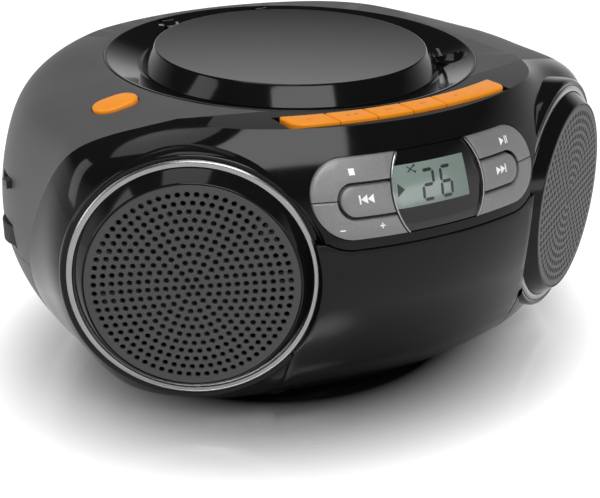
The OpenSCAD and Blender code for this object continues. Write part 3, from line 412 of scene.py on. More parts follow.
def smooth_face(bm):
    """A look-up of the smooth normals of a closed face, in metres in the frame."""
    copy = bm.copy()
    bmesh.ops.translate(copy, verts=copy.verts, vec=(0, waist_y, 0))
    bmesh.ops.scale(copy, verts=copy.verts, vec=(0.001, 0.001, 0.001))
    bmesh.ops.triangulate(copy, faces=[face for face in copy.faces if len(face.verts) > 4])
    bmesh.ops.triangulate(copy, faces=copy.faces)
    copy.faces.ensure_lookup_table()
    tree = BVHTree.FromBMesh(copy)
    corners = [[vert.co.copy() for vert in face.verts] for face in copy.faces]
    vertex_normals = {}
    for vert in copy.verts:
        total = Vector()
        for face in vert.link_faces:
            if abs(face.normal.z) < 0.985 or len(vert.link_faces) < 3:
                total += face.normal * face.calc_area()
        vertex_normals[vert.index] = (total if total.length > 0 else Vector(vert.normal)).normalized()
    rows = [[vertex_normals[vert.index] for vert in face.verts] for face in copy.faces]
    faces = [face.normal.copy() for face in copy.faces]
    copy.free()

    def normal_at(point, index):
        if abs(faces[index].z) > 0.985:
            return faces[index]
        a, b, c = corners[index]
        across = (b - a).cross(c - a)
        size = across.length_squared
        u = (c - b).cross(point - b).dot(across) / size
        v = (a - c).cross(point - c).dot(across) / size
        one, two, three = rows[index]
        return (one * u + two * v + three * (1 - u - v)).normalized()

    return tree, normal_at


# Matte charcoal plastic of the top cover and the bottom cabinet: the mould's spark texture gives it
# a fine even grain.
matte_black = Finish("matte_charcoal_plastic")
shade = matte_black.noise(0.03, 3)
spark = matte_black.noise(0.00045, 2)
matte_black.set(Base_Color=matte_black.mix(shade, (0.052, 0.051, 0.053), (0.064, 0.063, 0.065)),
    Roughness=spark * 0.12 + 0.46, Specular_IOR_Level=0.5,
    Normal=matte_black.bump(spark, 0.00006, 0.6))

# High-gloss black plastic of the front, the lid and its surround, the door and the bezels: deep
# black, polished in the mould, and very slightly wavy.
gloss_black = Finish("gloss_black_plastic")
wave = gloss_black.noise(0.02, 2)
gloss_black.set(Base_Color=gloss_black.mix(wave, (0.0035, 0.0035, 0.0037), (0.0055, 0.0055, 0.0055)),
    Roughness=gloss_black.noise(0.006, 4) * 0.05 + 0.07, Specular_IOR_Level=0.17)

# Top cover and bottom cabinet: two matte mouldings that meet at a seam round the sides. The top cover
# has the holes for the surround, the hand grip, the bass button, the wheels, the source switch, the
# headphone socket and the aerial. The bottom has the battery bay, the mains inlet and the feet.
seam_z, surround_r = 62, 96.5
deck_frame = at((0, 5, deck_z + 0.2)) @ turn("X", 2)
wheel_places = {-1: (-138.8, 10, 72), 1: (138.8, 10, 72)}
bass_frame = at((-112.7, -26, 139.2)) @ turn("Y", -11)
grip = ((-44, 100, 94), (44, 200, 116))
switch_slot = ((-162.5, 3.7, 95.8), (-137.5, 22.3, 100.2))
socket_frame = at((137.5, 0, 96)) @ turn("Y", 90)
aerial_frame = at((62, 127, 126)) @ turn("X", 90)
feet_places = [(x, y, 0) for x in (-78, 78) for y in (-62, 52)]
bay_half, bay_front = 53, 4
inlet = ((59, 65, 23), (81, 122, 39))


def behind_panel():
    """All that lies behind the leaning, swept edge of the glossy front."""
    far = 400
    sweep = far * math.tan(math.radians(12.8))
    wedge = prism([(0, 0), (far, sweep), (far, far), (-far, far), (-far, sweep)], -far, far)
    return moved(wedge, at((0, 46 - body_front, deck_z - 2.5)) @ turn("X", 24.2))


def deck_hole():
    return moved(rod(surround_r + 0.15, -9, 11), deck_frame)


def insides(node):
    """What the CAD node has under its wall: bosses, ribs, posts and bay walls."""
    return carve(node_copy(node), cabinet(wall + 0.02, 72, 24), "INTERSECT")


def stadium(radius, half, middle=(0, 0), steps=40):
    """Outline of a slot with round ends, as (x, y) points."""
    ends = [(half, -90), (-half, 90)]
    return [(middle[0] + x + radius * math.cos(math.radians(start + 180 * i / steps)),
        middle[1] + radius * math.sin(math.radians(start + 180 * i / steps)))
        for x, start in ends for i in range(steps + 1)]


def foot_holes(solid):
    for place in feet_places:
        carve(solid, moved(rod(7.1, 0, 4, 64), at(place)))


body_face = cabinet(0, turns, levels)
body_like = smooth_face(body_face)
shell = carve(body_face, cabinet(wall, 72, 24))
rear = carve(shell.copy(), behind_panel(), "INTERSECT")
top_cover = carve(rear.copy(), block((-400, -400, seam_z + 0.15), (400, 400, 400)), "INTERSECT")
bottom = carve(rear, block((-400, -400, -10), (400, 400, seam_z - 0.15)), "INTERSECT")

for place in wheel_places.values():
    carve(top_cover, moved(rod(20.3, -6, 6, 64), at(place)))
carve(top_cover, block(*grip))
carve(top_cover, deck_hole())
carve(top_cover, moved(prism(stadium(8.5, 3), -10, 10), bass_frame))
carve(top_cover, block(*switch_slot))
carve(top_cover, moved(rod(5.5, 0, 25, 64), socket_frame))
carve(top_cover, moved(rod(6.1, 0, 35, 64), aerial_frame))
joined(top_cover, insides("top_cover"))
finished("top_cover_shell", top_cover, matte_black, "cabinet", ["top_cover"],
    like=body_like)

foot_holes(bottom)
for place in feet_places[1::2]:
    carve(bottom, moved(rod(2.9, 0, 9, 32), at(place)))
carve(bottom, block((-bay_half - 0.2, bay_front - 0.2, 0), (bay_half + 0.2, 140, foot_h + 2.6)))
carve(bottom, block(*inlet))
joined(bottom, insides("bottom_cabinet"))
finished("bottom_cabinet_shell", bottom, matte_black, "cabinet",
    ["bottom_cabinet"], like=body_like)

# Front panel: one glossy moulding with a round recess and rim for each loudspeaker, the opening of
# the cassette door, the seat of the control group and the slot for the keys.
group_z, group_r, group_half = 109.2, 17, 44.5
trim_r, rim_r = 57, 60.5
door_half, door_low, door_top, door_gap = 68, 7, 91, 0.5


def speaker_frame(side):
    """Middle of a grille's face, with Z out of it."""
    return at((side * 109.9, -94.9, 72.2)) @ turn("Z", side * 30.3) @ turn("X", 90)


def slab(outline, back, front):
    """An outline of (x, z) seen from the front, as a solid between two depths."""
    return moved(prism(outline, -front, -back), turn("X", 90))


front = carve(shell, behind_panel())
for side in (-1, 1):
    recess = [(0, -30), (trim_r + 1.4, -30), (trim_r + 1.4, -7.2), (rim_r + 3.5, 0), (rim_r + 12, 22),
        (0, 22)]
    carve(front, moved(turned(recess), speaker_frame(side)))
for side in (-1, 1):
    rim = [(trim_r + 0.1, -12), (trim_r + 0.1, -7.6), (trim_r + 1, -7.25), (rim_r - 1.7, -7.2),
        (rim_r - 1.2, -7.5), (rim_r - 0.5, -8.5), (rim_r, -12), (rim_r, -30), (rim_r - 2.5, -30),
        (rim_r - 2.5, -12)]
    carve(front, moved(turned(rim), speaker_frame(side)), "UNION")
    baffle = [(36, -12), (rim_r - 1, -12), (rim_r - 1, -9), (36, -9)]
    carve(front, moved(turned(baffle), speaker_frame(side)), "UNION")
open_half, open_top = door_half + door_gap, door_top + door_gap
opening = slab([(-open_half, -50), (open_half, -50), (open_half, open_top), (-open_half, open_top)],
    -140, -86)
carve(opening, slab(stadium(group_r + 4.5, group_half, (0, group_z)), -150, -80))
for side in (-1, 1):
    carve(opening, moved(rod(trim_r + 0.1, -60, 40), speaker_frame(side)))
carve(opening, block((-400, -90, -60), (400, 0, 16)))
carve(front, opening)
carve(front, block((-60, -133, 16), (60, -60, 87)))
carve(front, slab(stadium(group_r + 0.4, group_half, (0, group_z)), -140, -93))

# Slot of the keys: the front edge and the rear edge of the row are arcs about different centres. The
# slot leaves more room in front, because a pressed key swings forward.
key_front, key_front_r, key_back, key_back_r, key_half = 105.5, 220, 93, 169.5, 61


def key_edge(x, front_edge, grow=0.0):
    """Depth of the row's front or rear edge at a side place."""
    place, radius = (key_front, key_front_r + grow) if front_edge else (key_back, key_back_r - grow)
    centre = (key_front_r if front_edge else key_back_r) - place
    return centre - math.sqrt(radius * radius - x * x)


slot_xs = [(key_half + 0.5) * (i / 31 - 1) for i in range(63)]
slot_front = [(x, key_edge(x, True, 1.5)) for x in slot_xs]
slot_back = [(x, key_edge(x, False, 0.5)) for x in slot_xs[::-1]]
carve(front, prism(slot_front + slot_back, 122.5, 152.5))
carve(front, deck_hole())
foot_holes(front)
ribs = insides("front_panel")
for side in (-1, 1):
    carve(ribs, moved(rod(rim_r + 0.6, -31, 30), speaker_frame(side)))
joined(front, ribs)
finished("front_shell", front, gloss_black, "cabinet", ["front_panel"],
    like=body_like)


def spread(phi, v, inset):
    """Width of the cabinet at that turn and height, over the cosine of the turn."""
    return body_point(phi, v, inset).x / math.cos(phi)


def on_front(x, z, inset=0.0):
    """The point of the front's face at a side place and a height, `inset` below the face."""
    phi, y = -math.pi / 2 + 0.01, -body_front
    for _ in range(9):
        reach = waist_z - foot_h if z < waist_z else deck_at(y) - waist_z
        v = (z - waist_z) / (reach - inset)
        phi = -math.acos(min(max(x / spread(phi, v, inset), -0.99), 0.99))
        if abs(math.cos(phi)) < 1e-4:
            phi -= 2e-4
        y = body_point(phi, v, inset).y
    return Vector((x, y, z))


def wrapped(outline, inner, outer, edge=0.0, step=4.0, segments=2):
    """A plate with that outline of (x, z), bent onto the front between two depths under its face.
    `edge` rounds the rim of its outer side."""
    bm = prism(outline, -inner, -outer)
    if edge:
        rim = [e for e in bm.edges if all(abs(vert.co.z + outer) < 1e-6 for vert in e.verts)]
        bmesh.ops.bevel(bm, geom=rim, offset=edge, segments=segments, profile=0.5, affect="EDGES",
            material=-1)
    for axis in (0, 1):
        low = min(vert.co[axis] for vert in bm.verts)
        high = max(vert.co[axis] for vert in bm.verts)
        normal = Vector((1, 0, 0) if axis == 0 else (0, 1, 0))
        for i in range(1, max(1, math.ceil((high - low) / step))):
            bmesh.ops.bisect_plane(bm, geom=bm.verts[:] + bm.edges[:] + bm.faces[:],
                plane_co=normal * (low + i * step), plane_no=normal, dist=0.0005)
    for vert in bm.verts:
        x, z, out = vert.co
        vert.co = on_front(x, z, -out)
    return bm


# Cassette door: a slab of the front's own curve. Its sides follow the trim rings and its top is
# scooped under the control group. Lugs behind it turn on two pins at its foot.
def door_side(z):
    """Half width of the door at a height."""
    frame_out = speaker_frame(1).inverted()
    x = door_half
    while x > 50:
        local = frame_out @ on_front(x, z)
        if math.hypot(local.x, local.y) > trim_r + 0.6:
            return x
        x -= 0.1
    return x


def scoop(x):
    """Height of the door's top edge at a side place."""
    over = max(0.0, abs(x) - group_half)
    radius = group_r + 5
    if over >= radius:
        return door_top
    return min(door_top, group_z - math.sqrt(radius * radius - over * over))


door_heights = [door_low + (door_top - door_low) * i / 56 for i in range(57)]
right_side = [(door_side(z), z) for z in door_heights]
top_half = right_side[-1][0]
top_xs = [top_half - 2 * top_half * i / 80 for i in range(1, 80)]
top_edge = [(x, scoop(x)) for x in top_xs]
left_side = [(-x, z) for x, z in right_side[::-1]]
door = wrapped(right_side + top_edge + left_side, wall, 0, edge=0.8, segments=3)
lugs = carve(node_copy("cassette_door"), cabinet(wall + 0.02, 72, 24), "INTERSECT")
finished("cassette_door_shell", joined(door, lugs), gloss_black, "door",
    ["cassette_door"], smooth=40)

# Control group: brushed grey caps round a barrel-shaped window, on a dark base. Each cap is a
# moulded shell that stands 0.8 mm out of the front.
inner_x, inner_z, inner_half = 42.9, -0.9, 6.35
window_x, window_r, frame_t, cap_gap = 2.5, 27, 0.9, 0.4


def between(start, end, steps):
    """Evenly spaced values from start to end."""
    return [start + (end - start) * i / steps for i in range(steps + 1)]


def arc(cx, cz, radius, start, end, steps=14):
    angles = [math.radians(degrees) for degrees in between(start, end, steps)]
    return [(cx + radius * math.cos(a), cz + radius * math.sin(a)) for a in angles]


def barrel(z, grow=0.0):
    """Half width of the window at a height from the group's middle."""
    return math.sqrt((window_r + grow) ** 2 - z * z) - window_x


def barrel_side(z0, z1, grow, steps=14):
    return [(-barrel(z, grow), z) for z in between(z0, z1, steps)]


clear = frame_t + cap_gap
notch = inner_half + 1.5
split = cap_gap / 2
edge_angle = math.degrees(math.asin((split - inner_z) / notch))
low_angle = math.degrees(math.asin((-split - inner_z) / notch))
outer_angle = math.degrees(math.asin(split / group_r))
upper_cap = (barrel_side(inner_z + notch, group_r, clear)
    + arc(-group_half, 0, group_r, 90, 180 - outer_angle)
    + arc(-inner_x, inner_z, notch, 180 - edge_angle, 90))
lower_cap = (barrel_side(inner_z - notch, -group_r, clear)
    + arc(-group_half, 0, group_r, 270, 180 + outer_angle)
    + arc(-inner_x, inner_z, notch, 180 - low_angle, 270))
inner_cap = (barrel_side(inner_z - inner_half, inner_z + inner_half, clear)
    + arc(-inner_x, inner_z, inner_half, 90, 270))


def group(outline, side=-1):
    """An outline drawn from the group's middle on the left, put in its place or mirrored."""
    return [(-side * x, group_z + z) for x, z in (outline if side < 0 else outline[::-1])]


brushed = Finish("brushed_grey_buttons")
stretch = brushed.node("ShaderNodeMapping", {}, {"Vector": brushed.place(), "Scale": (1, 30, 30)})
lines = brushed.noise(0.012, 3, stretch)
brushed.set(Base_Color=brushed.mix(lines, (0.145, 0.145, 0.147), (0.225, 0.225, 0.227)), Metallic=0.35,
    Roughness=lines * 0.15 + 0.34, Normal=brushed.bump(lines, 0.00002, 0.4))
caps = {"stop_button": (upper_cap, -1), "album_rocker": (lower_cap, -1),
    "previous_button": (inner_cap, -1), "play_pause_button": (upper_cap, 1),
    "mode_rocker": (lower_cap, 1), "next_button": (inner_cap, 1)}
for node, (outline, side) in caps.items():
    finished(node + "_cap", wrapped(group(outline, side), 1.8, -0.8, edge=0.45), brushed, node,
        [node], smooth=40)

dark_plastic = Finish("dark_plastic")
dark_grain = dark_plastic.noise(0.0006, 2)
dark_plastic.set(Base_Color=dark_plastic.mix(dark_plastic.noise(0.02), (0.010, 0.010, 0.011),
    (0.014, 0.014, 0.015)), Roughness=dark_grain * 0.1 + 0.4,
    Normal=dark_plastic.bump(dark_grain, 0.00003, 0.4))
base = wrapped(stadium(group_r + 2, group_half, (0, group_z)), 4.8, 3.0, step=6)
finished("control_base", base, dark_plastic, "cabinet", ["control_bezel"])

chrome = Finish("silver_trim")
chrome.set(Base_Color=chrome.mix(chrome.noise(0.01), (0.24, 0.24, 0.245), (0.30, 0.30, 0.305)),
    Metallic=0.9, Roughness=chrome.noise(0.004, 3) * 0.08 + 0.2)
bars = bmesh.new()
for side in (-1, 1):
    outline = barrel_side(-group_r, group_r, frame_t, 24) + barrel_side(group_r, -group_r, 0.05, 24)
    joined(bars, wrapped(group(outline[::-1], side), 1.5, -0.9, edge=0.25, step=6))
finished("window_frame", bars, chrome, "cabinet")

# Window: a glossy black lens, clipped in from behind, with a clear field over the grey-green display,
# whose colour carries painted light.
# The display's dark signs lie just under its face.
lens = Finish("display_lens")
lens_x = lens.node("ShaderNodeSeparateXYZ", {}, {0: lens.place()})
lens_z = lens_x.output("Z")
# Outside this field the lens is plain black; above the field that black band also stands in for a
# painted dark reflection.
inside = (lens_x > -0.0275) * (lens_x < 0.0160) * (lens_z > 0.1026) * (lens_z < 0.1204)
# Painted light: the display's grey-green is lighter at its top left and darker towards the right and the
# bottom.
lcd_painted_light = (lens_x + 0.024) * 14 + (0.1204 - lens_z) * 9
glass = lens.mix(lcd_painted_light, (0.195, 0.245, 0.222), (0.105, 0.142, 0.124))
lens.set(Base_Color=lens.mix(inside, (0.004, 0.004, 0.004), glass),
    Roughness=lens.noise(0.003, 2) * 0.04 + 0.08, Specular_IOR_Level=0.5)
window = [(-x, z) for x, z in barrel_side(-group_r, group_r, -0.1, 30)]
window += barrel_side(group_r, -group_r, -0.1, 30)
finished("window_lens", wrapped(group(window), 2.3, 0.2, edge=0.4), lens, "cabinet",
    ["display_window"], smooth=40)


def rectangle(x0, z0, x1, z1):
    return [(x0, z0), (x1, z0), (x1, z1), (x0, z1)]


def digit(x, z, segments, width=5.6, height=12.2, bar=1.35, gap=0.35, lean=0.09):
    """Seven-segment digit: one six-sided bar for each lit segment."""
    half = height / 2
    places = {"top": (0, height, 1), "middle": (0, half, 1), "bottom": (0, 0, 1),
        "upper_left": (0, half, 0), "lower_left": (0, 0, 0), "upper_right": (width, half, 0),
        "lower_right": (width, 0, 0)}
    for name in segments:
        px, pz, flat = places[name]
        length = width if flat else half
        tip = bar / 2
        points = [(gap, 0), (gap + tip, tip), (length - gap - tip, tip), (length - gap, 0),
            (length - gap - tip, -tip), (gap + tip, -tip)]
        if not flat:
            points = [(b, a) for a, b in points][::-1]
        yield [(x + px + a + lean * (pz + b), z + pz + b) for a, b in points][::-1]


def signs(name, outlines, inner, outer, finish, body):
    """Thin printed or raised signs on the front, one plate for each outline."""
    sheet = bmesh.new()
    for outline in outlines:
        area = sum(a[0] * b[1] - b[0] * a[1] for a, b in zip(outline, outline[1:] + outline[:1]))
        joined(sheet, wrapped(outline if area > 0 else outline[::-1], inner, outer, step=3))
    return finished(name, sheet, finish, body)


ink = Finish("display_ink")
ink.set(Base_Color=ink.mix(ink.noise(0.002), (0.004, 0.005, 0.004), (0.009, 0.010, 0.009)),
    Roughness=0.3)
two = ("top", "upper_right", "middle", "lower_left", "bottom")
six = ("top", "upper_left", "middle", "lower_left", "lower_right", "bottom")
shown = list(digit(-9.2, 104.6, two)) + list(digit(0.8, 104.6, six))
shown.append([(-22.4, 107.6), (-18.4, 110.4), (-21.6, 113.2)])
shown.append([(-15.6, 117.0), (-14.9, 117.0), (-11.6, 119.4), (-12.3, 119.4)])
shown.append([(-15.6, 119.4), (-14.9, 119.4), (-11.6, 117.0), (-12.3, 117.0)])
shown.append([(-12.4, 118.9), (-10.8, 119.2), (-11.6, 120.2)])
shown.append([(-12.4, 117.5), (-11.6, 116.2), (-10.8, 117.2)])
signs("display_signs", shown, 0.25, 0.14, ink, "cabinet")

# Signs on the caps: plain white marks for stop, skip, play and pause, minus and plus, printed on the
# finished caps.
white_print = Finish("white_print")
white_print.set(Base_Color=white_print.mix(white_print.noise(0.001), (0.72, 0.72, 0.72),
    (0.86, 0.86, 0.86)), Roughness=0.5)


def arrow(x, z, size, way):
    """A triangle that points left or right."""
    return [(x, z - size * 0.62), (x + way * size, z), (x, z + size * 0.62)]


marks = {
    "stop_button": [rectangle(-43.3, 119.3, -40.7, 122.0)],
    "previous_button": [rectangle(-41.2, 107.3, -40.5, 111.0), arrow(-37.4, 109.15, 3.0, -1),
        arrow(-34.4, 109.15, 3.0, -1)],
    "next_button": [rectangle(40.5, 107.3, 41.2, 111.0), arrow(37.4, 109.15, 3.0, 1),
        arrow(34.4, 109.15, 3.0, 1)],
    "play_pause_button": [arrow(40.6, 120.6, 2.8, 1), rectangle(44.2, 119.0, 44.8, 122.2),
        rectangle(45.4, 119.0, 46.0, 122.2)],
    "album_rocker": [rectangle(-51.6, 96.7, -49.2, 97.2), rectangle(-33.4, 97.0, -31.0, 97.5),
        rectangle(-32.45, 96.05, -31.95, 98.45)],
}
for node, outlines in marks.items():
    signs(node + "_sign", outlines, -0.7, -0.86, white_print, node)


def rounded(points, steps=5):
    """An outline of (x, y) or (x, y, radius) whose corners with a radius are rounded."""
    out = []
    for i, point in enumerate(points):
        here = Vector(point[:2])
        if len(point) < 3:
            out.append(tuple(here))
            continue
        a = here + (Vector(points[i - 1][:2]) - here).normalized() * point[2]
        b = here + (Vector(points[(i + 1) % len(points)][:2]) - here).normalized() * point[2]
        for k in range(steps + 1):
            t = k / steps
            out.append(tuple(a * (1 - t) ** 2 + here * (2 * t * (1 - t)) + b * t * t))
    return out


def rest_of(node, *tools):
    """What the CAD node has outside those solids."""
    left = node_copy(node)
    for tool in tools:
        carve(left, tool)
    return left


# CD surround: a dished glossy ring with a thin raised lip, a ledge under the lid and the disc well.
# It is cut by the finger dimple, the hinge pockets and the laser's slot.
lid_r, lid_h, ledge, well_r, well_depth = 77.5, 4.4, 5.4, 64, 12
tab_turn, dimple_x, dimple_r = -28, 83, 11
surround_profile = [(surround_r, -2), (surround_r, 0, 0.25), (surround_r - 0.5, 0.3, 0.25),
    (surround_r - 1.5, 0.2, 0.4), (lid_r + 1.5, -ledge, 0.8), (well_r, -ledge, 0.6),
    (well_r, -well_depth, 0.5), (17, -well_depth), (17, -well_depth - 2), (well_r + 2, -well_depth - 2),
    (well_r + 2, -ledge - 2), (lid_r + 1.5, -ledge - 2)]
ring = turned(rounded(surround_profile), 256)
pockets = bmesh.new()
for side in (-1, 1):
    joined(pockets, block((side * 30 - 4, lid_r - 5, -20), (side * 30 + 4, lid_r + 12, 5)))
carve(ring, pockets)
carve(ring, block((-8, -well_r + 4, -20), (8, -20, 5)))
ball = bmesh.new()
bmesh.ops.create_uvsphere(ball, u_segments=96, v_segments=48, radius=dimple_r)
dimple_place = turn("Z", tab_turn) @ at((dimple_x, 0, 4))
carve(ring, moved(ball, dimple_place))


def bowl(radius, reach=7.6, steps=24):
    """Half the outline of a bowl's face, from its middle out."""
    return [(reach * i / steps, -math.sqrt(radius * radius - (reach * i / steps) ** 2))
        for i in range(steps + 1)]


cup = turned(bowl(dimple_r - 0.05) + bowl(dimple_r + 1.5)[::-1], 96)
joined(ring, moved(cup, dimple_place))
envelope = moved(turned([(0, 9), (0, -14.05), (well_r + 2.05, -14.05), (well_r + 2.05, -ledge - 2.05),
    (lid_r + 1.5, -ledge - 2.05), (surround_r + 0.05, -2.05), (surround_r + 0.05, 9)], 256), deck_frame)
joined(moved(ring, deck_frame), rest_of("cd_surround", envelope))
finished("cd_surround_ring", ring, gloss_black, "cabinet", ["cd_surround"],
    smooth=35)

# CD lid: a shallow moulded cap with a flat top, a wide chamfer and a thin raised edge between them. It
# hangs on two arms at the back and carries the disc clamp in its middle.
cap_profile = [(0, lid_h - 2), (0, lid_h), (69.2, lid_h), (70.3, lid_h + 0.12, 0.35),
    (70.9, lid_h - 0.5, 0.3), (lid_r, -ledge + 0.2, 0.6), (lid_r - 2, -ledge + 0.2, 0.3),
    (68.3, lid_h - 2)]
lid_shell = turned(rounded(cap_profile), 256)
envelope = turned([(0, 9), (0, lid_h - 2.05), (68.3, lid_h - 2.05), (lid_r - 2.05, -ledge + 0.1),
    (lid_r + 0.05, -ledge + 0.1), (lid_r + 0.05, 9)], 256)
joined(moved(lid_shell, deck_frame), rest_of("cd_lid", moved(envelope, deck_frame)))
finished("cd_lid_cap", lid_shell, gloss_black, "lid", ["cd_lid"], smooth=35)


# Five orange keys, moulded with their levers, which turn on one shaft. The row's outer ends have
# rounded corners, and each top has a rounded rim and a shallow sign.
def key_piece(x0, x1, grow=0.0, left=0.0, right=0.0):
    """Outline of a part of the row seen from above, with rounded corners at its ends."""
    outline = []
    for front_edge, share in ((True, 1.0), (False, 0.35)):
        a, b = x0 + left * share * 1.02, x1 - right * share * 1.02
        count = max(3, round((b - a) / 2))
        xs = [a + (b - a) * i / count for i in range(count + 1)]
        row = [(x, key_edge(x, front_edge, grow)) for x in xs]
        if left:
            row.insert(0, (x0, key_edge(x0, front_edge, grow), left * share))
        if right:
            row.append((x1, key_edge(x1, front_edge, grow), right * share))
        outline += row if front_edge else row[::-1]
    return rounded(outline, 8)


orange = Finish("orange_plastic")
orange_grain = orange.noise(0.0005, 2)
orange.set(Base_Color=orange.mix(orange.noise(0.02), (0.68, 0.215, 0.004), (0.72, 0.235, 0.006)),
    Roughness=orange_grain * 0.1 + 0.36, Normal=orange.bump(orange_grain, 0.00002, 0.4),
    Specular_IOR_Level=0.3)
# Signs on the keys: the keys' own orange, darkened as painted shade in place of the shade along their
# faint relief.
key_sign_painted_shade = Finish("orange_signs")
key_sign_painted_shade.set(Base_Color=key_sign_painted_shade.mix(key_sign_painted_shade.noise(0.002), (0.52, 0.125, 0.008), (0.58, 0.145, 0.012)),
    Roughness=0.5)
key_top, key_low = 139.3, 129.8
key_ends = [-59, -38, -19.3, -0.3, 18.7, 61]
key_names = ["pause_key", "stop_open_key", "forward_key", "rewind_key", "play_key"]


def key_sign(kind, x):
    """Outlines of a key's sign, seen from above with its middle at x."""
    y = (key_edge(x, True) + key_edge(x, False)) / 2
    right = [(-1.5, -1.1), (0.3, 0), (-1.5, 1.1)]
    shapes = {"pause_key": [[(-1.3, -1.1), (-0.5, -1.1), (-0.5, 1.1), (-1.3, 1.1)],
            [(0.5, -1.1), (1.3, -1.1), (1.3, 1.1), (0.5, 1.1)]],
        "stop_open_key": [[(-3, -1), (-1, -1), (-1, 1), (-3, 1)], [(0.8, -0.4), (3.2, -0.4), (2, 1.1)],
            [(0.8, -1.1), (3.2, -1.1), (3.2, -0.7), (0.8, -0.7)]],
        "forward_key": [right, [(a + 1.9, b) for a, b in right]],
        "rewind_key": [[(-a, b) for a, b in right][::-1], [(-a - 1.9, b) for a, b in right][::-1]],
        "play_key": [[(-0.9, -1.2), (1.2, 0), (-0.9, 1.2)]]}[kind]
    return [[(x + a, y + b) for a, b in shape] for shape in shapes]


for i, node in enumerate(key_names):
    x0, x1 = key_ends[i] + 0.3, key_ends[i + 1] - 0.3
    cap = prism(key_piece(x0, x1, 0, 7 if i == 0 else 0, 6 if i == 4 else 0), key_low, key_top)
    rim = [e for e in cap.edges if all(vert.co.z > key_top - 1e-6 for vert in e.verts)]
    bmesh.ops.bevel(cap, geom=rim, offset=1.0, segments=4, profile=0.5, affect="EDGES", material=-1)
    outline = key_piece(x0 - (2.5 if i == 0 else 0.05), x1 + 0.05, 0.05)
    plain = prism(outline, key_low - 0.05, key_top + 1)
    finished(node + "_cap", joined(cap, rest_of(node, plain)), orange, node, [node],
        smooth=40)
    sheet = bmesh.new()
    for shape in key_sign(node, (x0 + x1) / 2 if i < 4 else 30):
        joined(sheet, prism(shape, key_top - 0.1, key_top + 0.04))
    finished(node + "_sign", sheet, key_sign_painted_shade, node)

# Bass button: an oval cap of the same orange, moulded with its stem, that leans with the shoulder of
# the deck.
oval = prism(stadium(8, 3), -3.9, 1.1)
rim = [e for e in oval.edges if all(vert.co.z > 1.1 - 1e-6 for vert in e.verts)]
bmesh.ops.bevel(oval, geom=rim, offset=1.3, segments=5, profile=0.5, affect="EDGES", material=-1)
finished("bass_button_cap", moved(oval, bass_frame), orange, "bass_button",
    ["bass_button"], smooth=40)

# Loudspeakers: a painted steel grille, punched with 11 rings of holes round a middle one, in a glossy
# bevelled bezel with a thin silver ring round it.
grille_steel = Finish("painted_grille_steel")
paint = grille_steel.noise(0.0007, 2)
grille_steel.set(Base_Color=grille_steel.mix(grille_steel.noise(0.03), (0.030, 0.030, 0.031),
    (0.038, 0.038, 0.039)), Roughness=paint * 0.1 + 0.42, Metallic=0.1,
    Normal=grille_steel.bump(paint, 0.00002, 0.4))
grille_r, bezel_r, bezel_drop, ring_step = 48.2, 53.7, 6.5, 3.97
hole = turned([(0, -3), (1.12, -3), (1.12, -0.55), (1.28, -0.2), (1.62, 0.05), (1.62, 0.6), (0, 0.6)],
    16)
hole_mesh = bpy.data.meshes.new("hole")
hole.to_mesh(hole_mesh)
hole.free()
for side, word in ((-1, "left"), (1, "right")):
    holes = bmesh.new()
    for k in range(12):
        count = max(1, 6 * k)
        for j in range(count):
            angle = math.tau * j / count + math.radians(4)
            start = len(holes.verts)
            holes.from_mesh(hole_mesh)
            holes.verts.ensure_lookup_table()
            bmesh.ops.translate(holes, verts=holes.verts[start:],
                vec=(ring_step * k * math.cos(angle), ring_step * k * math.sin(angle), 0))
    plate = turned(rounded([(0, -1.2), (grille_r, -1.2), (grille_r, 0, 0.7), (0, 0)]), 160)
    carve(plate, holes)
    finished(word + "_grille_plate", moved(plate, speaker_frame(side)), grille_steel, "cabinet",
        [word + "_grille"], smooth=35)
    bezel = turned(rounded([(46, -9), (bezel_r, -9), (bezel_r, -bezel_drop, 0.5), (48.9, -0.1, 0.5),
        (48.5, 0, 0.2), (48.5, -1.25), (46, -1.25)]), 256)
    finished(word + "_bezel", moved(bezel, speaker_frame(side)), gloss_black, "cabinet",
        [word + "_speaker_bezel"], smooth=35)
    silver = turned(rounded([(54, -9), (trim_r, -9), (trim_r, -7.5, 0.4), (56, -6.65, 0.4),
        (54, -6.6, 0.2)]), 256)
    finished(word + "_silver_ring", moved(silver, speaker_frame(side)), chrome, "cabinet",
        [word + "_trim_ring"], smooth=35)
bpy.data.meshes.remove(hole_mesh)

# Wheels for volume and tuning: dark discs that stand out of the sides, pushed on a post of 2 mm
# radius, with a fine tooth every 4 degrees.
wheel_r, wheel_half, tooth = 20, 5, 0.45
for side, node in ((-1, "volume_wheel"), (1, "tuning_wheel")):
    rim_radii = [wheel_r - tooth * (i % 4 in (2, 3)) for i in range(360)]
    teeth = [(radius * math.cos(math.tau * i / 360), radius * math.sin(math.tau * i / 360))
        for i, radius in enumerate(rim_radii)]
    wheel = prism(teeth, -wheel_half, wheel_half)
    rims = [e for e in wheel.edges if abs(e.verts[0].co.z - e.verts[1].co.z) < 1e-6]
    bmesh.ops.bevel(wheel, geom=rims, offset=0.15, segments=1, affect="EDGES", material=-1)
    carve(wheel, rod(2.05, -9, 9, 64))
    finished(node + "_disc", moved(wheel, at(wheel_places[side])), dark_plastic, node,
        [node], smooth=20)

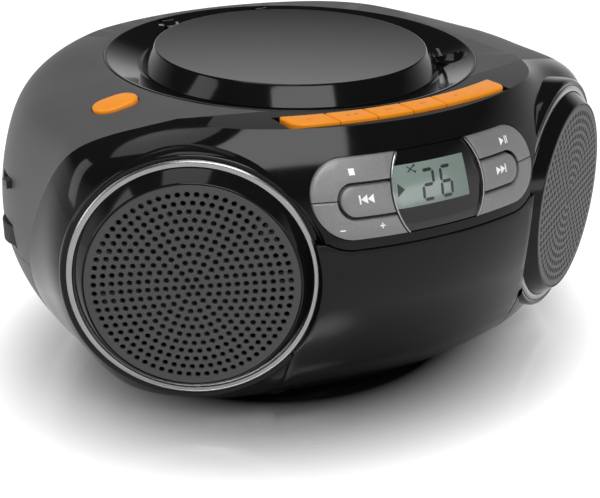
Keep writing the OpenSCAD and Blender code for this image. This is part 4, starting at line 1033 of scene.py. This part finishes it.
# Mechanism, boards, aerial, battery door and feet: pieces whose shape the CAD already has. Each gets
# the finish of its slot, and the drivers' cones are as dark as rubber behind the grilles.
steel = Finish("bright_steel")
steel.set(Base_Color=steel.mix(steel.noise(0.008), (0.42, 0.42, 0.43), (0.52, 0.52, 0.53)), Metallic=0.9,
    Roughness=steel.noise(0.002, 3) * 0.12 + 0.28)
brass = Finish("brass")
brass.set(Base_Color=brass.mix(brass.noise(0.008), (0.52, 0.36, 0.12), (0.60, 0.42, 0.16)), Metallic=0.9,
    Roughness=brass.noise(0.002, 3) * 0.12 + 0.25)
rubber = Finish("black_rubber")
rubber_grain = rubber.noise(0.0006, 3)
rubber.set(Base_Color=rubber.mix(rubber.noise(0.01), (0.014, 0.014, 0.014), (0.022, 0.022, 0.022)),
    Roughness=0.8, Normal=rubber.bump(rubber_grain, 0.00005, 0.5))
green_board = Finish("circuit_board")
green_board.set(Base_Color=green_board.mix(green_board.noise(0.006, 3), (0.010, 0.060, 0.022),
    (0.016, 0.085, 0.030)), Roughness=0.45)
white_plastic = Finish("pale_grey_plastic")
white_plastic.set(Base_Color=white_plastic.mix(white_plastic.noise(0.01), (0.42, 0.42, 0.41),
    (0.48, 0.48, 0.47)), Roughness=0.45)
green_glass = Finish("display_glass")
green_glass.set(Base_Color=green_glass.mix(green_glass.noise(0.01), (0.10, 0.14, 0.12),
    (0.13, 0.17, 0.145)), Roughness=0.2)
by_slot = {"steel": steel, "brass": brass, "rubber": rubber, "circuit_board": green_board,
    "grey_plastic": white_plastic, "display_glass": green_glass, "dark_plastic": dark_plastic,
    "chromed_trim": chrome, "matte_black_plastic": matte_black, "gloss_black_plastic": gloss_black,
    "grille_steel": grille_steel, "orange_plastic": orange, "grey_button_plastic": brushed,
    "display_window_plastic": lens}
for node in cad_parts.values():
    node.data.materials[0] = by_slot[node.data.materials[0].name.split(".")[0]].material
for node in ("left_driver", "right_driver"):
    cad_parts[node].data.materials[0] = rubber.material

bpy.context.view_layer.update()
